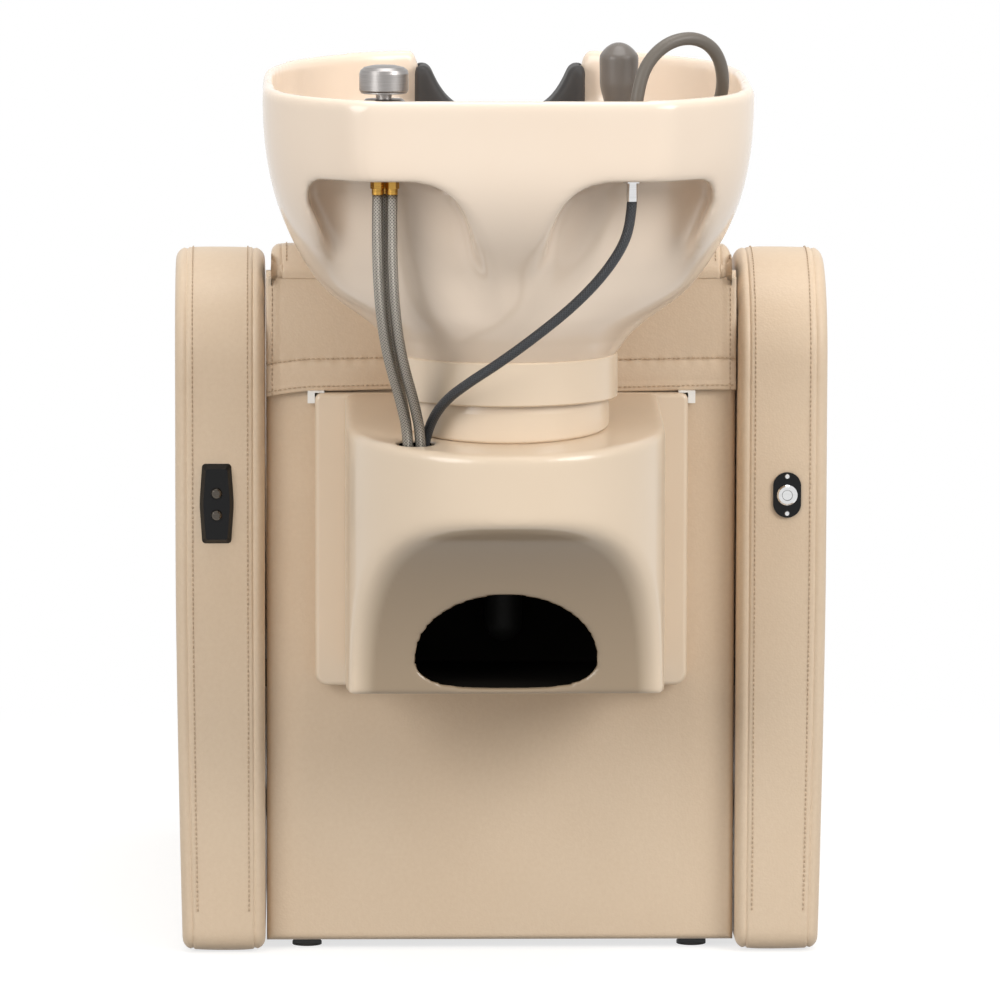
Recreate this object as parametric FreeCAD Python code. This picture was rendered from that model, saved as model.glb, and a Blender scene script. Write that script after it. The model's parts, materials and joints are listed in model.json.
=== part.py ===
import FreeCAD, Part
import math
import os

# Backwash unit of a hair salon: an upholstered seat between two padded arms, with a tilting wash bowl
# behind its back, on a moulded housing that covers the plumbing.
# Millimetres. +Z is up, +Y is the way the client faces, +X is the client's right hand.
# Every y below is a distance in front of the rear faces of the arms, so what stands behind them is negative.

V = FreeCAD.Vector
UP = V(0, 0, 1)
ACROSS = V(1, 0, 0)
FORWARD = V(0, 1, 0)

# Driving dimensions: whole unit
unit_length = 1250.0
bowl_overhang = 400.0
arm_rear = bowl_overhang - unit_length / 2
glide_height = 3.0
glide_radius = 16.0
running_gap = 0.3
pin_gap = 0.05

# Driving dimensions: arms
arm_gap = 508.0
arm_thickness = 96.0
arm_length = 843.0
arm_crest = 756.0
arm_crest_radius = 115.0
arm_top_slope = math.radians(11.6)
arm_front_radius = 95.0
arm_front_rake = 14.0
arm_foot_radius = 34.0
arm_edge_round = 12.0
arm_board_thickness = 28.0
arm_padding = 38.0

# Driving dimensions: rear panel, flap and moulded back plate
panel_rear = 30.0
panel_thickness = 20.0
panel_padding = 4.0
panel_side_gap = 1.5
panel_bottom = 8.0
panel_top = 738.0
flap_thickness = 2.5
flap_top = 741.0
flap_bottom = 610.0
flap_rear = 20.0
flap_wave = 2.2
flap_waves = 6
plate_width = 400.0
plate_bottom = 292.0
plate_height = 316.0
plate_depth = 26.0
plate_wall = 4.0
plate_corner = 14.0
plate_edge_round = 5.0
clip_width = 16.0
clip_height = 11.0
clip_overlap = 10.0

# Driving dimensions: housing under the bowl
housing_half_width = 168.0
housing_wall = 4.0
housing_bottom = 312.0
housing_top_rear = 579.0
housing_edge_round = 6.0
scoop_reach = 131.0
scoop_height = 190.0
window_width = 190.0
window_height = 103.0
window_sill = 6.0
window_shoulder = 45.0
window_crown_width = 124.0
window_low_radius = 25.0
window_side_radius = 50.0
window_high_radius = 55.0
hose_hole_radius = 19.0
hose_hole_x = -96.0
hose_hole_y = -258.0
supply_hole_radius = 16.0

# Driving dimensions: column between housing and bowl
column_y = -162.0
cup_radius = 108.6
cup_wall = 4.0
cup_top = 637.0
cup_foot_round = 9.0
collar_radius = 117.5
collar_wall = 4.5
collar_bottom = 624.0
cup_waist_drop = 22.0
tilt_drop = 37.0
bracket_drop = 115.0
pin_radius = 6.0
ear_thickness = 6.0
base_ear_x = 52.0
arm_tube_width = 30.0
arm_tube_height = 60.0
arm_tube_wall = 3.0
bracket_arm_x = 62.0
base_plate_thickness = 6.0

# Driving dimensions: bowl
bowl_width = 508.0
bowl_wall = 13.0
foot_radius = 112.0
foot_bottom = 652.0
bowl_shoulder = 670.0
rim_rear = 951.0
rim_front = 970.0
neck_reach = 150.0
deck_top = 908.0
deck_thickness = 16.0
deck_front = -316.0
apron_bottom = 866.0
apron_wall = 13.0
basin_floor = 690.0
pocket_inner = 41.0
pocket_outer = 207.0
pocket_bottom = 758.0
notch_half_width = 84.0
notch_bottom = 893.0
notch_shoulder = 940.0
notch_flare = 0.28
drain_radius = 20.0
tap_x = 130.0
spray_x = 124.0
tap_y = -353.0
tap_hole_radius = 17.5

# Driving dimensions: neck rest, tap and spray
neck_rest_thickness = 13.0
neck_rest_length = 66.0
knob_radius = 25.2
knob_bottom = 957.0
knob_top = 984.0
tap_body_radius = 23.4
tap_body_top = 949.0
spray_hold_x = 113.0
spray_hold_y = -280.0
spray_handle_radius = 13.5
spray_handle_bottom = 800.0
spray_head_radius = 17.0
spray_head_top = 1003.0
holder_top = 935.0
holder_wall = 4.5
spray_hose_diameter = 13.5
steel_hose_diameter = 11.0
feed_hose_diameter = 10.5
waste_hose_radius = 20.0
waste_rib = 2.5
waste_ribs = 22

# Driving dimensions: seat, back and leg rest
seat_side_gap = 15.0
seat_back = 236.0
seat_front_setback = 55.0
seat_board_low = 315.0
seat_board_thickness = 15.0
seat_top = 452.0
back_side_gap = 7.0
back_top = 765.0
rail_size = 30.0
rail_wall = 2.0
leg_hinge_setback = 45.0
leg_hinge_z = 375.0
leg_board_thickness = 14.0
leg_pad_ahead = 7.0
leg_rest_bottom = 92.0
leg_lug_drop = 78.4
leg_lug_setback = 16.0

# Driving dimensions: drive of the leg rest
drive_pivot_setback = 448.0
drive_pivot_z = 150.0
drive_tube_radius = 20.0
drive_rod_radius = 9.0
drive_pin_radius = 5.0
drive_slack = 6.5
drive_pin_ahead = 2.19
drive_pin_drop = 5.74

# Driving dimensions: controls on the rear of the arms
control_z = 490.0
control_width = 37.0
control_height = 86.0
control_depth = 8.0
control_button_radius = 6.0
control_button_spread = 11.8
switch_z = 499.0
switch_width = 30.0
switch_height = 49.0
switch_plate_thickness = 3.0
switch_ring_radius = 11.0
switch_button_radius = 5.8
button_travel = 2.0

# Worked out from the driving dimensions
arm_inner = arm_gap / 2
seat_front = arm_length - seat_front_setback
leg_hinge_y = arm_length - leg_hinge_setback
leg_pad_front = arm_length + leg_pad_ahead
drive_pivot_y = leg_hinge_y - drive_pivot_setback
seat_width = arm_gap - 2 * seat_side_gap
back_width = arm_gap - 2 * back_side_gap
tilt_height = foot_bottom - tilt_drop
bracket_low = tilt_height - bracket_drop
arm_outer = arm_inner + arm_thickness
arm_middle = arm_inner + arm_thickness / 2
plate_top = plate_bottom + plate_height
plate_rear = panel_rear - plate_depth
housing_rear = column_y - housing_half_width
housing_fall = (plate_top - housing_top_rear) / (plate_rear - housing_rear)
bowl_rear = -bowl_overhang
panel_front = panel_rear + panel_thickness


def at(x, y, z):
    return V(x, arm_rear + y, z)


def block(x0, x1, y0, y1, z0, z1):
    return Part.makeBox(x1 - x0, y1 - y0, z1 - z0, at(x0, y0, z0))


def rod(radius, start, end):
    return Part.makeCylinder(radius, start.distanceToPoint(end), start, end - start)


def tube(outer, inner, start, end):
    return rod(outer, start, end).cut(rod(inner, start, end))


def both_sides(shape):
    return Part.Compound([shape, shape.mirror(V(0, 0, 0), ACROSS)])


def mirrored(shape):
    return shape.mirror(V(0, 0, 0), ACROSS)


def joined(first, *others):
    return first.fuse(list(others)).removeSplitter()


def rounded(corners, place):
    """Closed wire through (a, b, radius) corners, each rounded by an arc; place maps (a, b) to a point."""
    flat = [V(a, b, 0) for a, b, radius in corners]
    bends = []
    for i, (a, b, radius) in enumerate(corners):
        here = flat[i]
        back = (flat[i - 1] - here).normalize()
        ahead = (flat[(i + 1) % len(flat)] - here).normalize()
        half = back.getAngle(ahead) / 2
        middle = (back + ahead).normalize()
        reach = radius / math.tan(half)
        depth = radius / math.sin(half) - radius
        bends.append((here + back * reach, here + middle * depth, here + ahead * reach))
    edges = []
    for i, (first, middle, last) in enumerate(bends):
        if first.distanceToPoint(last) > 1e-6:
            arc = Part.Arc(*[place(p.x, p.y) for p in (first, middle, last)])
            edges.append(arc.toShape())
        following = bends[(i + 1) % len(bends)][0]
        if last.distanceToPoint(following) > 1e-6:
            edges.append(Part.makeLine(place(last.x, last.y), place(following.x, following.y)))
    return Part.Wire(edges)


def across(corners, x0, x1):
    wire = rounded(corners, lambda a, b: at(x0, a, b))
    return Part.Face(wire).extrude(ACROSS * (x1 - x0))


def along(corners, y0, y1):
    wire = rounded(corners, lambda a, b: at(a, y0, b))
    return Part.Face(wire).extrude(FORWARD * (y1 - y0))


def upright(corners, z0, z1):
    wire = rounded(corners, lambda a, b: at(a, b, z0))
    return Part.Face(wire).extrude(UP * (z1 - z0))


def turned(x, y, profile):
    """Solid of revolution about a vertical axis; profile holds (radius, z) points."""
    points = [at(x + r, y, z) for r, z in profile]
    face = Part.Face(Part.makePolygon(points + points[:1]))
    return face.revolve(at(x, y, 0), UP, 360)


def turned_forward(x, z, profile):
    """Solid of revolution about an axis along y; profile holds (radius, y) points."""
    points = [at(x + r, y, z) for r, y in profile]
    face = Part.Face(Part.makePolygon(points + points[:1]))
    return face.revolve(at(x, 0, z), FORWARD, 360)


def inset(corners, margins):
    """Polygon moved inwards edge by edge; margins[i] belongs to the edge from corner i to the next."""
    count = len(corners)
    flat = [V(a, b, 0) for a, b, radius in corners]
    turn = sum(flat[i].x * flat[(i + 1) % count].y - flat[(i + 1) % count].x * flat[i].y for i in range(count))
    side = 1 if turn > 0 else -1
    lines = []
    for i in range(count):
        heading = (flat[(i + 1) % count] - flat[i]).normalize()
        inward = V(-heading.y, heading.x, 0) * side
        lines.append((flat[i] + inward * margins[i], heading))
    result = []
    for i, (a, b, radius) in enumerate(corners):
        start, heading = lines[i - 1]
        other, direction = lines[i]
        cross = heading.x * direction.y - heading.y * direction.x
        step = ((other.x - start.x) * direction.y - (other.y - start.y) * direction.x) / cross
        point = start + heading * step
        result.append((point.x, point.y, max(radius - max(margins[i - 1], margins[i]), 2.0)))
    return result


def pillow(corners, stations):
    """Upholstered form: the (y, z) outline, drawn in by each station's margins, lofted across x."""
    wires = []
    for x, margins in stations:
        wires.append(rounded(inset(corners, margins), lambda a, b: at(x, a, b)))
    return Part.makeLoft(wires, True, True)


def save(name, shape):
    shape.exportStep("parts/%s.step" % name)


# Arms: padded slabs round a plywood board, with rounded edges all the way round and a crowned band
def arm_outline():
    centre = arm_crest - arm_crest_radius
    tilt = math.tan(arm_top_slope)
    top_rear = centre + arm_crest_radius / math.cos(arm_top_slope) + tilt * arm_crest_radius
    top_front = top_rear - tilt * arm_length
    return [
        (0, glide_height, arm_foot_radius),
        (0, top_rear, arm_crest_radius),
        (arm_length, top_front, arm_front_radius),
        (arm_length - arm_front_rake, glide_height, arm_foot_radius),
    ]


def arm_board():
    corners = inset(arm_outline(), [arm_padding, arm_padding, arm_padding, 0])
    half = arm_board_thickness / 2
    return across(corners, arm_middle - half, arm_middle + half)


def arm_padding_form():
    steps = [(0.0, 1.0), (0.3, 0.4), (1.0, 0.1)]
    inner = [(arm_inner + arm_edge_round * s, [arm_edge_round * drop] * 4) for s, drop in steps]
    outer = [(arm_outer - arm_edge_round * s, [arm_edge_round * drop] * 4) for s, drop in reversed(steps)]
    return pillow(arm_outline(), inner + [(arm_middle, [0] * 4)] + outer)


def control_pocket(x, z, width, height, depth):
    return block(x - width / 2, x + width / 2, -1, depth, z - height / 2, z + height / 2)


control_x = -arm_middle - 3.5
switch_x = arm_middle + 4.6
case_width = 26.0
case_height = 62.0
case_depth = 24.0
barrel_radius = 9.0


def make_arms():
    board = arm_board()
    padding = arm_padding_form().cut(board)
    left = mirrored(padding)
    left = left.cut(control_pocket(control_x, control_z, case_width, case_height, case_depth))
    right = padding.cut(rod(barrel_radius + running_gap, at(switch_x, -1, switch_z), at(switch_x, case_depth, switch_z)))
    save("left_arm_upholstery", left)
    save("right_arm_upholstery", right)
    save("arm_boards", both_sides(board))


# Frame: rails under the seat, posts behind the rear panel, and bars across
post_top = 600.0
rail_x = arm_inner - rail_size / 2
post_x = rail_x - rail_size
front_bar_y = 610.0
rear_bar_low = bracket_low
rear_bar_height = 70.0


def box_tube_y(x, z_low, y0, y1):
    half = rail_size / 2
    outer = block(x - half, x + half, y0, y1, z_low, z_low + rail_size)
    hollow = block(x - half + rail_wall, x + half - rail_wall, y0, y1, z_low + rail_wall, z_low + rail_size - rail_wall)
    return outer.cut(hollow)


def box_tube_x(x0, x1, y0, z_low, height):
    outer = block(x0, x1, y0, y0 + rail_size, z_low, z_low + height)
    hollow = block(x0, x1, y0 + rail_wall, y0 + rail_size - rail_wall, z_low + rail_wall, z_low + height - rail_wall)
    return outer.cut(hollow)


def make_frame():
    half = rail_size / 2
    rail_low = seat_board_low - rail_size
    post = block(post_x - half, post_x + half, panel_front, panel_front + rail_size, glide_height, post_top)
    bore = half - rail_wall
    hollow = block(post_x - bore, post_x + bore, panel_front + rail_wall, panel_front + rail_size - rail_wall,
                   glide_height, post_top)
    inner = post_x - half
    save("rear_frame", Part.Compound([
        both_sides(post.cut(hollow)),
        box_tube_x(-inner, inner, panel_front, rear_bar_low, rear_bar_height),
        box_tube_x(-inner, inner, panel_front, glide_height + 30, rail_size),
    ]))
    low = drive_pivot_z - rail_size - 24
    save("seat_frame", Part.Compound([
        both_sides(box_tube_y(rail_x, rail_low, panel_front, leg_hinge_y - 40)),
        box_tube_x(-rail_x + half, rail_x - half, front_bar_y, rail_low, rail_size - rail_wall),
        box_tube_x(-arm_inner, arm_inner, drive_pivot_y - half, low, rail_size),
    ]))
    spots = [(arm_middle, 80.0), (arm_middle, arm_length - 110.0), (post_x, panel_front + half)]
    discs = [rod(glide_radius, at(x, y, 0), at(x, y, glide_height)) for x, y in spots]
    save("floor_glides", both_sides(Part.Compound(discs)))


# Rear panel: a board in a padded leatherette cover, with a loose flap over its top edge
window_half = bracket_arm_x + arm_tube_width / 2 + 6
window_low = bracket_low - 5
window_high = bracket_low + arm_tube_height + 5


def make_rear_panel():
    half = arm_inner - panel_side_gap
    opening = block(-window_half, window_half, plate_rear - 1, panel_front + 1, window_low, window_high)
    cover = block(-half, half, panel_rear, panel_front, panel_bottom, panel_top)
    edge = panel_padding
    board = block(-half + edge, half - edge, panel_rear + edge, panel_front, panel_bottom + edge, panel_top - edge)
    pipe = waste_passage()
    save("rear_panel_cover", cover.cut(board).cut(opening).cut(pipe))
    save("rear_panel_board", board.cut(opening).cut(pipe))


def waste_passage():
    return rod(elbow_radius + 1.0, at(0, plate_rear - 1, elbow_low), at(0, panel_front + 1, elbow_low))


def wave_wire(depth, sway, z):
    """Closed strip outline seen from above: the rear edge swings to and fro, the front edge follows it."""
    half = arm_inner - panel_side_gap - running_gap
    step = 2 * half / flap_waves
    rear = []
    front = []
    for i in range(flap_waves):
        left = -half + step * i
        right = left + step
        swing = sway if i % 2 else -sway
        ends = (at(left, depth, z), at((left + right) / 2, depth + swing, z), at(right, depth, z))
        rear.append(Part.Arc(*ends).toShape())
        shift = FORWARD * flap_thickness
        front.append(Part.Arc(*[p + shift for p in reversed(ends)]).toShape())
    close = [
        Part.makeLine(at(half, depth, z), at(half, depth + flap_thickness, z)),
        Part.makeLine(at(-half, depth + flap_thickness, z), at(-half, depth, z)),
    ]
    return Part.Wire(rear + close[:1] + front[::-1] + close[1:])


def make_flap():
    top = wave_wire(panel_rear - flap_thickness - running_gap, 0.05, flap_top)
    middle = wave_wire(flap_rear + 3, flap_wave / 2, (flap_top + flap_bottom) / 2)
    bottom = wave_wire(flap_rear, flap_wave, flap_bottom)
    save("rear_flap", Part.makeLoft([bottom, middle, top], True, False))


# Moulded back plate and its two white clips
def make_back_plate():
    half = plate_width / 2
    corners = [
        (-half, plate_bottom, plate_corner),
        (half, plate_bottom, plate_corner),
        (half, plate_top, plate_corner / 2),
        (-half, plate_top, plate_corner / 2),
    ]
    outer = along(corners, plate_rear, panel_rear)
    rim = [e for e in outer.Edges if abs(e.BoundBox.YMax - arm_rear - plate_rear) < 1e-6]
    outer = outer.makeFillet(plate_edge_round, rim)
    inner = along(inset(corners, [plate_wall] * 4), plate_rear + plate_wall, panel_rear)
    opening = block(-window_half, window_half, plate_rear - 1, panel_rear + 1, window_low, window_high)
    save("back_plate", outer.cut(inner).cut(opening).cut(waste_passage()))
    clip = block(half + running_gap, half + clip_width / 2, plate_rear + 6, panel_rear,
                 plate_top - clip_height, plate_top + 2.0)
    hook = block(half - clip_overlap, half + clip_width / 2, plate_rear + 6, panel_rear,
                 plate_top + running_gap, plate_top + 2.0)
    save("plate_clips", both_sides(joined(clip, hook)))


# Housing: D-shaped in plan, with a top that falls to the rear and a scooped underside
def housing_form(margin, back):
    half = housing_half_width - margin
    low = housing_bottom + margin
    arc = Part.Arc(at(-half, column_y, low), at(0, column_y - half, low), at(half, column_y, low))
    sides = [
        Part.makeLine(at(-half, back, low), at(-half, column_y, low)),
        arc.toShape(),
        Part.makeLine(at(half, column_y, low), at(half, back, low)),
        Part.makeLine(at(half, back, low), at(-half, back, low)),
    ]
    plan = Part.Face(Part.Wire(sides)).extrude(UP * (plate_top - housing_bottom))
    return plan.common(below_housing_top(margin, back)).cut(scoop(margin))


def below_housing_top(margin, back):
    rear = housing_rear - 20
    corners = [
        (rear, housing_bottom, 0),
        (back, housing_bottom, 0),
        (back, housing_height(back) - margin, 0),
        (rear, housing_height(rear) - margin, 0),
    ]
    return across(corners, -housing_half_width - 1, housing_half_width + 1)


def housing_height(y):
    return plate_top - (plate_rear - y) * housing_fall


def scoop(margin):
    centre = at(-housing_half_width - 1, housing_rear, housing_bottom)
    high = centre + UP * (scoop_height + margin)
    deep = centre + FORWARD * (scoop_reach + margin)
    face = Part.Face(Part.Wire(Part.Ellipse(high, deep, centre).toShape()))
    return face.extrude(ACROSS * (2 * housing_half_width + 2))


block_width = 38.0
supply_x = -bracket_arm_x - arm_tube_width / 2 - block_width / 2
supply_spots = (-152.0, -112.0)


def make_housing():
    outer = housing_form(0, plate_rear)
    edges = [e for e in outer.Edges if is_housing_rim(e)]
    outer = outer.makeFillet(housing_edge_round, edges)
    inner = housing_form(housing_wall, plate_rear + 1)
    shell = outer.cut(inner)
    half = window_width / 2
    crown = window_crown_width / 2
    low = housing_bottom + window_sill
    window = along([
        (-half, low, window_low_radius),
        (half, low, window_low_radius),
        (half, low + window_shoulder, window_side_radius),
        (crown, low + window_height, window_high_radius),
        (-crown, low + window_height, window_high_radius),
        (-half, low + window_shoulder, window_side_radius),
    ], housing_rear, housing_rear + scoop_reach + 60)
    top = housing_height(column_y)
    throat = rod(cup_radius - cup_wall - 8, at(0, column_y, top - 40), at(0, column_y, top + 40))
    hole = rod(hose_hole_radius, at(hose_hole_x, hose_hole_y, top - 60), at(hose_hole_x, hose_hole_y, top + 60))
    shell = shell.cut(window).cut(throat).cut(hole)
    for y in supply_spots:
        low = at(supply_x, y, housing_bottom - 1)
        shell = shell.cut(rod(supply_hole_radius, low, low + UP * (housing_wall + 2)))
    save("housing", shell)


def is_housing_rim(edge):
    """True for the edges round the sloping top, apart from the one along the back plate."""
    for vertex in edge.Vertexes:
        y = vertex.Point.y - arm_rear
        if abs(vertex.Point.z - housing_height(y)) > 0.01:
            return False
    return edge.BoundBox.YMin - arm_rear < plate_rear - 1


# Column: a fixed cup on the housing, and a collar on the bowl that slides over it as the bowl tilts
def make_column():
    low = housing_height(column_y - cup_radius) - 5
    waist = cup_top - cup_waist_drop
    lean = 2.4
    profile = [
        (cup_radius, low),
        (cup_radius, waist),
        (cup_radius - lean, cup_top),
        (cup_radius - lean - cup_wall, cup_top),
        (cup_radius - cup_wall, waist),
        (cup_radius - cup_wall, low),
    ]
    cup = turned(0, column_y, profile).cut(below_housing_top(0, plate_rear - 2))
    foot = [e for e in cup.Edges if e.BoundBox.ZMax < waist - 5 and e.BoundBox.XMax > cup_radius - 0.5
            and e.BoundBox.ZLength > 1]
    cup = cup.makeFillet(min(cup_foot_round, cup_wall - 0.5), [e for e in foot if e.Length > cup_radius])
    save("turret_cup", cup)
    edge = 1.5
    inner = collar_radius - collar_wall
    top = bowl_shoulder - running_gap
    profile = [
        (inner, collar_bottom + edge),
        (inner + edge, collar_bottom),
        (collar_radius - edge, collar_bottom),
        (collar_radius, collar_bottom + edge),
        (collar_radius, top - edge),
        (collar_radius - edge, top),
        (inner, top),
    ]
    save("bowl_collar", turned(0, column_y, profile))


# Bowl bracket: two box arms from the frame, a base with ears, and a yoke under the bowl's foot
base_top = bracket_low + arm_tube_height + base_plate_thickness
bracket_reach = 120.0
yoke_ring_inner = 42.0
yoke_ring_outer = 88.0
yoke_thickness = 8.0


def make_tilt():
    half = arm_tube_width / 2
    wall = arm_tube_wall
    high = bracket_low + arm_tube_height
    far = column_y - bracket_reach
    left = bracket_arm_x - half
    right = bracket_arm_x + half
    flange = 8.0
    start = panel_front - flange
    arm = block(left, right, far, start, bracket_low, high)
    hollow = block(left + wall, right - wall, far, start, bracket_low + wall, high - wall)
    arm = arm.cut(hollow)
    plate = block(-right, right, start, panel_front, bracket_low, high)
    save("bowl_bracket", joined(plate, arm, mirrored(arm)))
    ear_width = 20.0
    reach = 50.0
    base = block(-right, right, column_y - reach, column_y + reach, high, base_top)
    base = base.cut(rod(drain_radius + 14, at(0, column_y, high), at(0, column_y, base_top)))
    outline = [
        (column_y - ear_width, base_top, 0),
        (column_y + ear_width, base_top, 0),
        (column_y + ear_width, tilt_height + ear_width * 0.7, ear_width * 0.6),
        (column_y - ear_width, tilt_height + ear_width * 0.7, ear_width * 0.6),
    ]
    ear = across(outline, base_ear_x, base_ear_x + ear_thickness)
    base = joined(base, ear, mirrored(ear))
    bore = rod(pin_radius + pin_gap, at(-arm_inner, column_y, tilt_height), at(arm_inner, column_y, tilt_height))
    save("tilt_base", base.cut(bore))
    low = foot_bottom - yoke_thickness
    ring = tube(yoke_ring_outer, yoke_ring_inner, at(0, column_y, low), at(0, column_y, foot_bottom))
    ear_x = base_ear_x + ear_thickness + running_gap
    drop = 14.0
    outline = [
        (column_y - ear_width, low, 0),
        (column_y + ear_width, low, 0),
        (column_y + ear_width, tilt_height - drop, drop * 0.8),
        (column_y - ear_width, tilt_height - drop, drop * 0.8),
    ]
    ear = across(outline, ear_x, ear_x + ear_thickness)
    ring = joined(ring, ear, mirrored(ear))
    hole = rod(pin_radius, at(-arm_inner, column_y, tilt_height), at(arm_inner, column_y, tilt_height))
    save("tilt_yoke", ring.cut(hole))
    outer = ear_x + ear_thickness
    shank = rod(pin_radius, at(base_ear_x - 3, column_y, tilt_height), at(outer, column_y, tilt_height))
    head = rod(pin_radius + 3, at(outer, column_y, tilt_height), at(outer + 4, column_y, tilt_height))
    save("tilt_pins", both_sides(joined(shank, head)))


# Bowl: an oval basin in a straight-backed skirt, with a deck for the taps and two pockets under it
oval_points = 40


def oval(z, half_width, rear, front, middle, rear_power, front_power):
    """Closed curve at height z: two half super-ellipses that share their widest line."""
    points = []
    for k in range(oval_points):
        angle = 2 * math.pi * k / oval_points
        along_x = math.cos(angle)
        along_y = math.sin(angle)
        power = front_power if along_y >= 0 else rear_power
        depth = front - middle if along_y >= 0 else middle - rear
        x = half_width * math.copysign(abs(along_x) ** (2 / power), along_x)
        y = middle + depth * math.copysign(abs(along_y) ** (2 / power), along_y)
        points.append(at(x, y, z))
    curve = Part.BSplineCurve()
    curve.interpolate(Points=points, PeriodicFlag=True)
    return Part.Wire(curve.toShape())


def skirt_levels():
    """Outside of the bowl: height, half width, rear, front, widest line and the two powers."""
    half = bowl_width / 2
    shoulder = collar_radius - 1.5
    rise = (rim_rear - bowl_shoulder) / 281.0
    shape = [
        (0, None, None, None, 0, 2.0, 2.0),
        (28, 0.168, 0.17, 0.10, 3, 2.1, 2.05),
        (60, 0.478, 0.32, 0.20, 8, 2.3, 2.1),
        (92, 0.674, 0.46, 0.295, 13, 2.7, 2.15),
        (130, 0.81, 0.74, 0.463, 20, 3.4, 2.2),
        (180, 0.928, 0.97, 0.765, 30, 4.2, 2.3),
        (230, 0.99, 1.0, 0.95, 38, 4.5, 2.4),
        (315, 1.0, 1.0, 1.0, 42, 4.5, 2.4),
    ]
    rear_span = column_y - shoulder - bowl_rear
    front_span = neck_reach - column_y - shoulder
    levels = []
    for height, wide, back, ahead, shift, rear_power, front_power in shape:
        share = (wide or 0.0, back or 0.0, ahead or 0.0)
        levels.append((
            bowl_shoulder + height * rise,
            shoulder + (half - shoulder) * share[0],
            column_y - shoulder - rear_span * share[1],
            column_y + shoulder + front_span * share[2],
            column_y + shift,
            rear_power,
            front_power,
        ))
    return levels


def basin_levels():
    """Inside of the bowl below the deck, drawn in from the skirt by the wall."""
    half = bowl_width / 2
    depth = deck_top - basin_floor
    shape = [
        (0.0, 0.27, 66, -66, 0, 2.0, 2.0),
        (0.065, 0.465, 108, -100, 0, 2.0, 2.0),
        (0.185, 0.68, 130, -138, 4, 2.2, 2.1),
        (0.33, 0.80, 141, -158, 10, 2.4, 2.15),
        (0.505, 0.88, 147, -190, 16, 2.7, 2.2),
        (0.735, 0.947, 151, -250, 24, 3.0, 2.3),
        (1.01, 0.99, 154, -288, 34, 3.2, 2.4),
    ]
    levels = []
    for share, wide, back, ahead, shift, rear_power, front_power in shape:
        levels.append((
            basin_floor + depth * share,
            (half - bowl_wall) * wide,
            column_y - back * (column_y - deck_front) / 154.0,
            column_y - ahead * (neck_reach - bowl_wall - column_y) / 299.0,
            column_y + shift,
            rear_power,
            front_power,
        ))
    return levels


def grown(levels, margin, drop):
    return [(z - drop, w + margin, r - margin, f + margin, m, p, q) for z, w, r, f, m, p, q in levels]


def between(levels):
    """The levels with one more between each pair, on a smooth curve through them."""
    result = []
    for i in range(len(levels) - 1):
        before = levels[max(i - 1, 0)]
        after = levels[min(i + 2, len(levels) - 1)]
        pairs = zip(before, levels[i], levels[i + 1], after)
        result.append(levels[i])
        result.append(tuple((9 * (b + c) - a - d) / 16 for a, b, c, d in pairs))
    return result + levels[-1:]


def loft_levels(levels):
    return Part.makeLoft([oval(*level) for level in levels], True, True)


def rim_cut():
    rear = bowl_rear - 30
    front = neck_reach + 60
    slope = (rim_front - rim_rear) / (neck_reach - bowl_rear)
    corners = [
        (rear, rim_rear + slope * (rear - bowl_rear), 0),
        (front, rim_rear + slope * (front - bowl_rear), 0),
        (front, rim_front + 120, 0),
        (rear, rim_front + 120, 0),
    ]
    return across(corners, -bowl_width, bowl_width)


def notch_corners(margin):
    """Half-open U of the neck notch, seen along y, drawn in by margin."""
    half = notch_half_width - margin
    low = notch_bottom + margin
    rise = notch_shoulder - notch_bottom
    return half, low, low + rise


def notch_form(margin, y0, y1, top):
    half, low, shoulder = notch_corners(margin)
    flare = notch_flare * (top - shoulder)
    arc = Part.Arc(at(-half, y0, shoulder), at(0, y0, low), at(half, y0, shoulder))
    edges = [
        arc.toShape(),
        Part.makeLine(at(half, y0, shoulder), at(half + flare, y0, top)),
        Part.makeLine(at(half + flare, y0, top), at(-half - flare, y0, top)),
        Part.makeLine(at(-half - flare, y0, top), at(-half, y0, shoulder)),
    ]
    return Part.Face(Part.Wire(edges)).extrude(FORWARD * (y1 - y0))


def pocket(basin_outside):
    """Hollow under one side of the deck, open at the rear below the apron."""
    opening = along([
        (pocket_inner, apron_bottom, 45.0),
        (pocket_outer, apron_bottom, 14.0),
        (pocket_outer - 3, 792.0, 24.0),
        (pocket_outer - 50, pocket_bottom, 24.0),
        (pocket_inner, pocket_bottom, 20.0),
    ], bowl_rear - 20, column_y)
    behind = block(pocket_inner + 11, pocket_outer - 9, bowl_rear + apron_wall, deck_front,
                   apron_bottom - 20, deck_top - deck_thickness)
    return joined(opening, behind).cut(basin_outside)


def make_bowl():
    skirt = loft_levels(between(skirt_levels()))
    foot = rod(foot_radius, at(0, column_y, foot_bottom), at(0, column_y, bowl_shoulder + 6))
    body = skirt.fuse(foot)
    basin = between(basin_levels())
    basin_outside = loft_levels(grown(basin, bowl_wall, bowl_wall))
    hollow = pocket(basin_outside)
    body = body.cut(hollow).cut(mirrored(hollow))
    levels = skirt_levels()
    top = grown(levels[-1:], -bowl_wall, 0)[0]
    upper = loft_levels([(deck_top,) + top[1:], (rim_front + 60,) + top[1:]])
    body = body.cut(upper).cut(loft_levels(basin)).cut(rim_cut())
    body = body.cut(notch_form(0, column_y + 180, neck_reach + 40, rim_front + 20))
    for x in (-tap_x, spray_x):
        body = body.cut(rod(tap_hole_radius, at(x, tap_y, apron_bottom), at(x, tap_y, rim_front)))
    body = body.cut(rod(drain_radius + running_gap, at(0, column_y, foot_bottom), at(0, column_y, basin_floor + 20)))
    save("bowl", body)


def make_neck_rest():
    front = neck_reach + 14
    rear = front - neck_rest_length
    margin = running_gap
    outer = notch_form(margin, rear, front, rim_front - 3)
    inner = notch_form(neck_rest_thickness, rear - 1, front + 1, rim_front + 20)
    save("neck_rest", outer.cut(inner))


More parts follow.
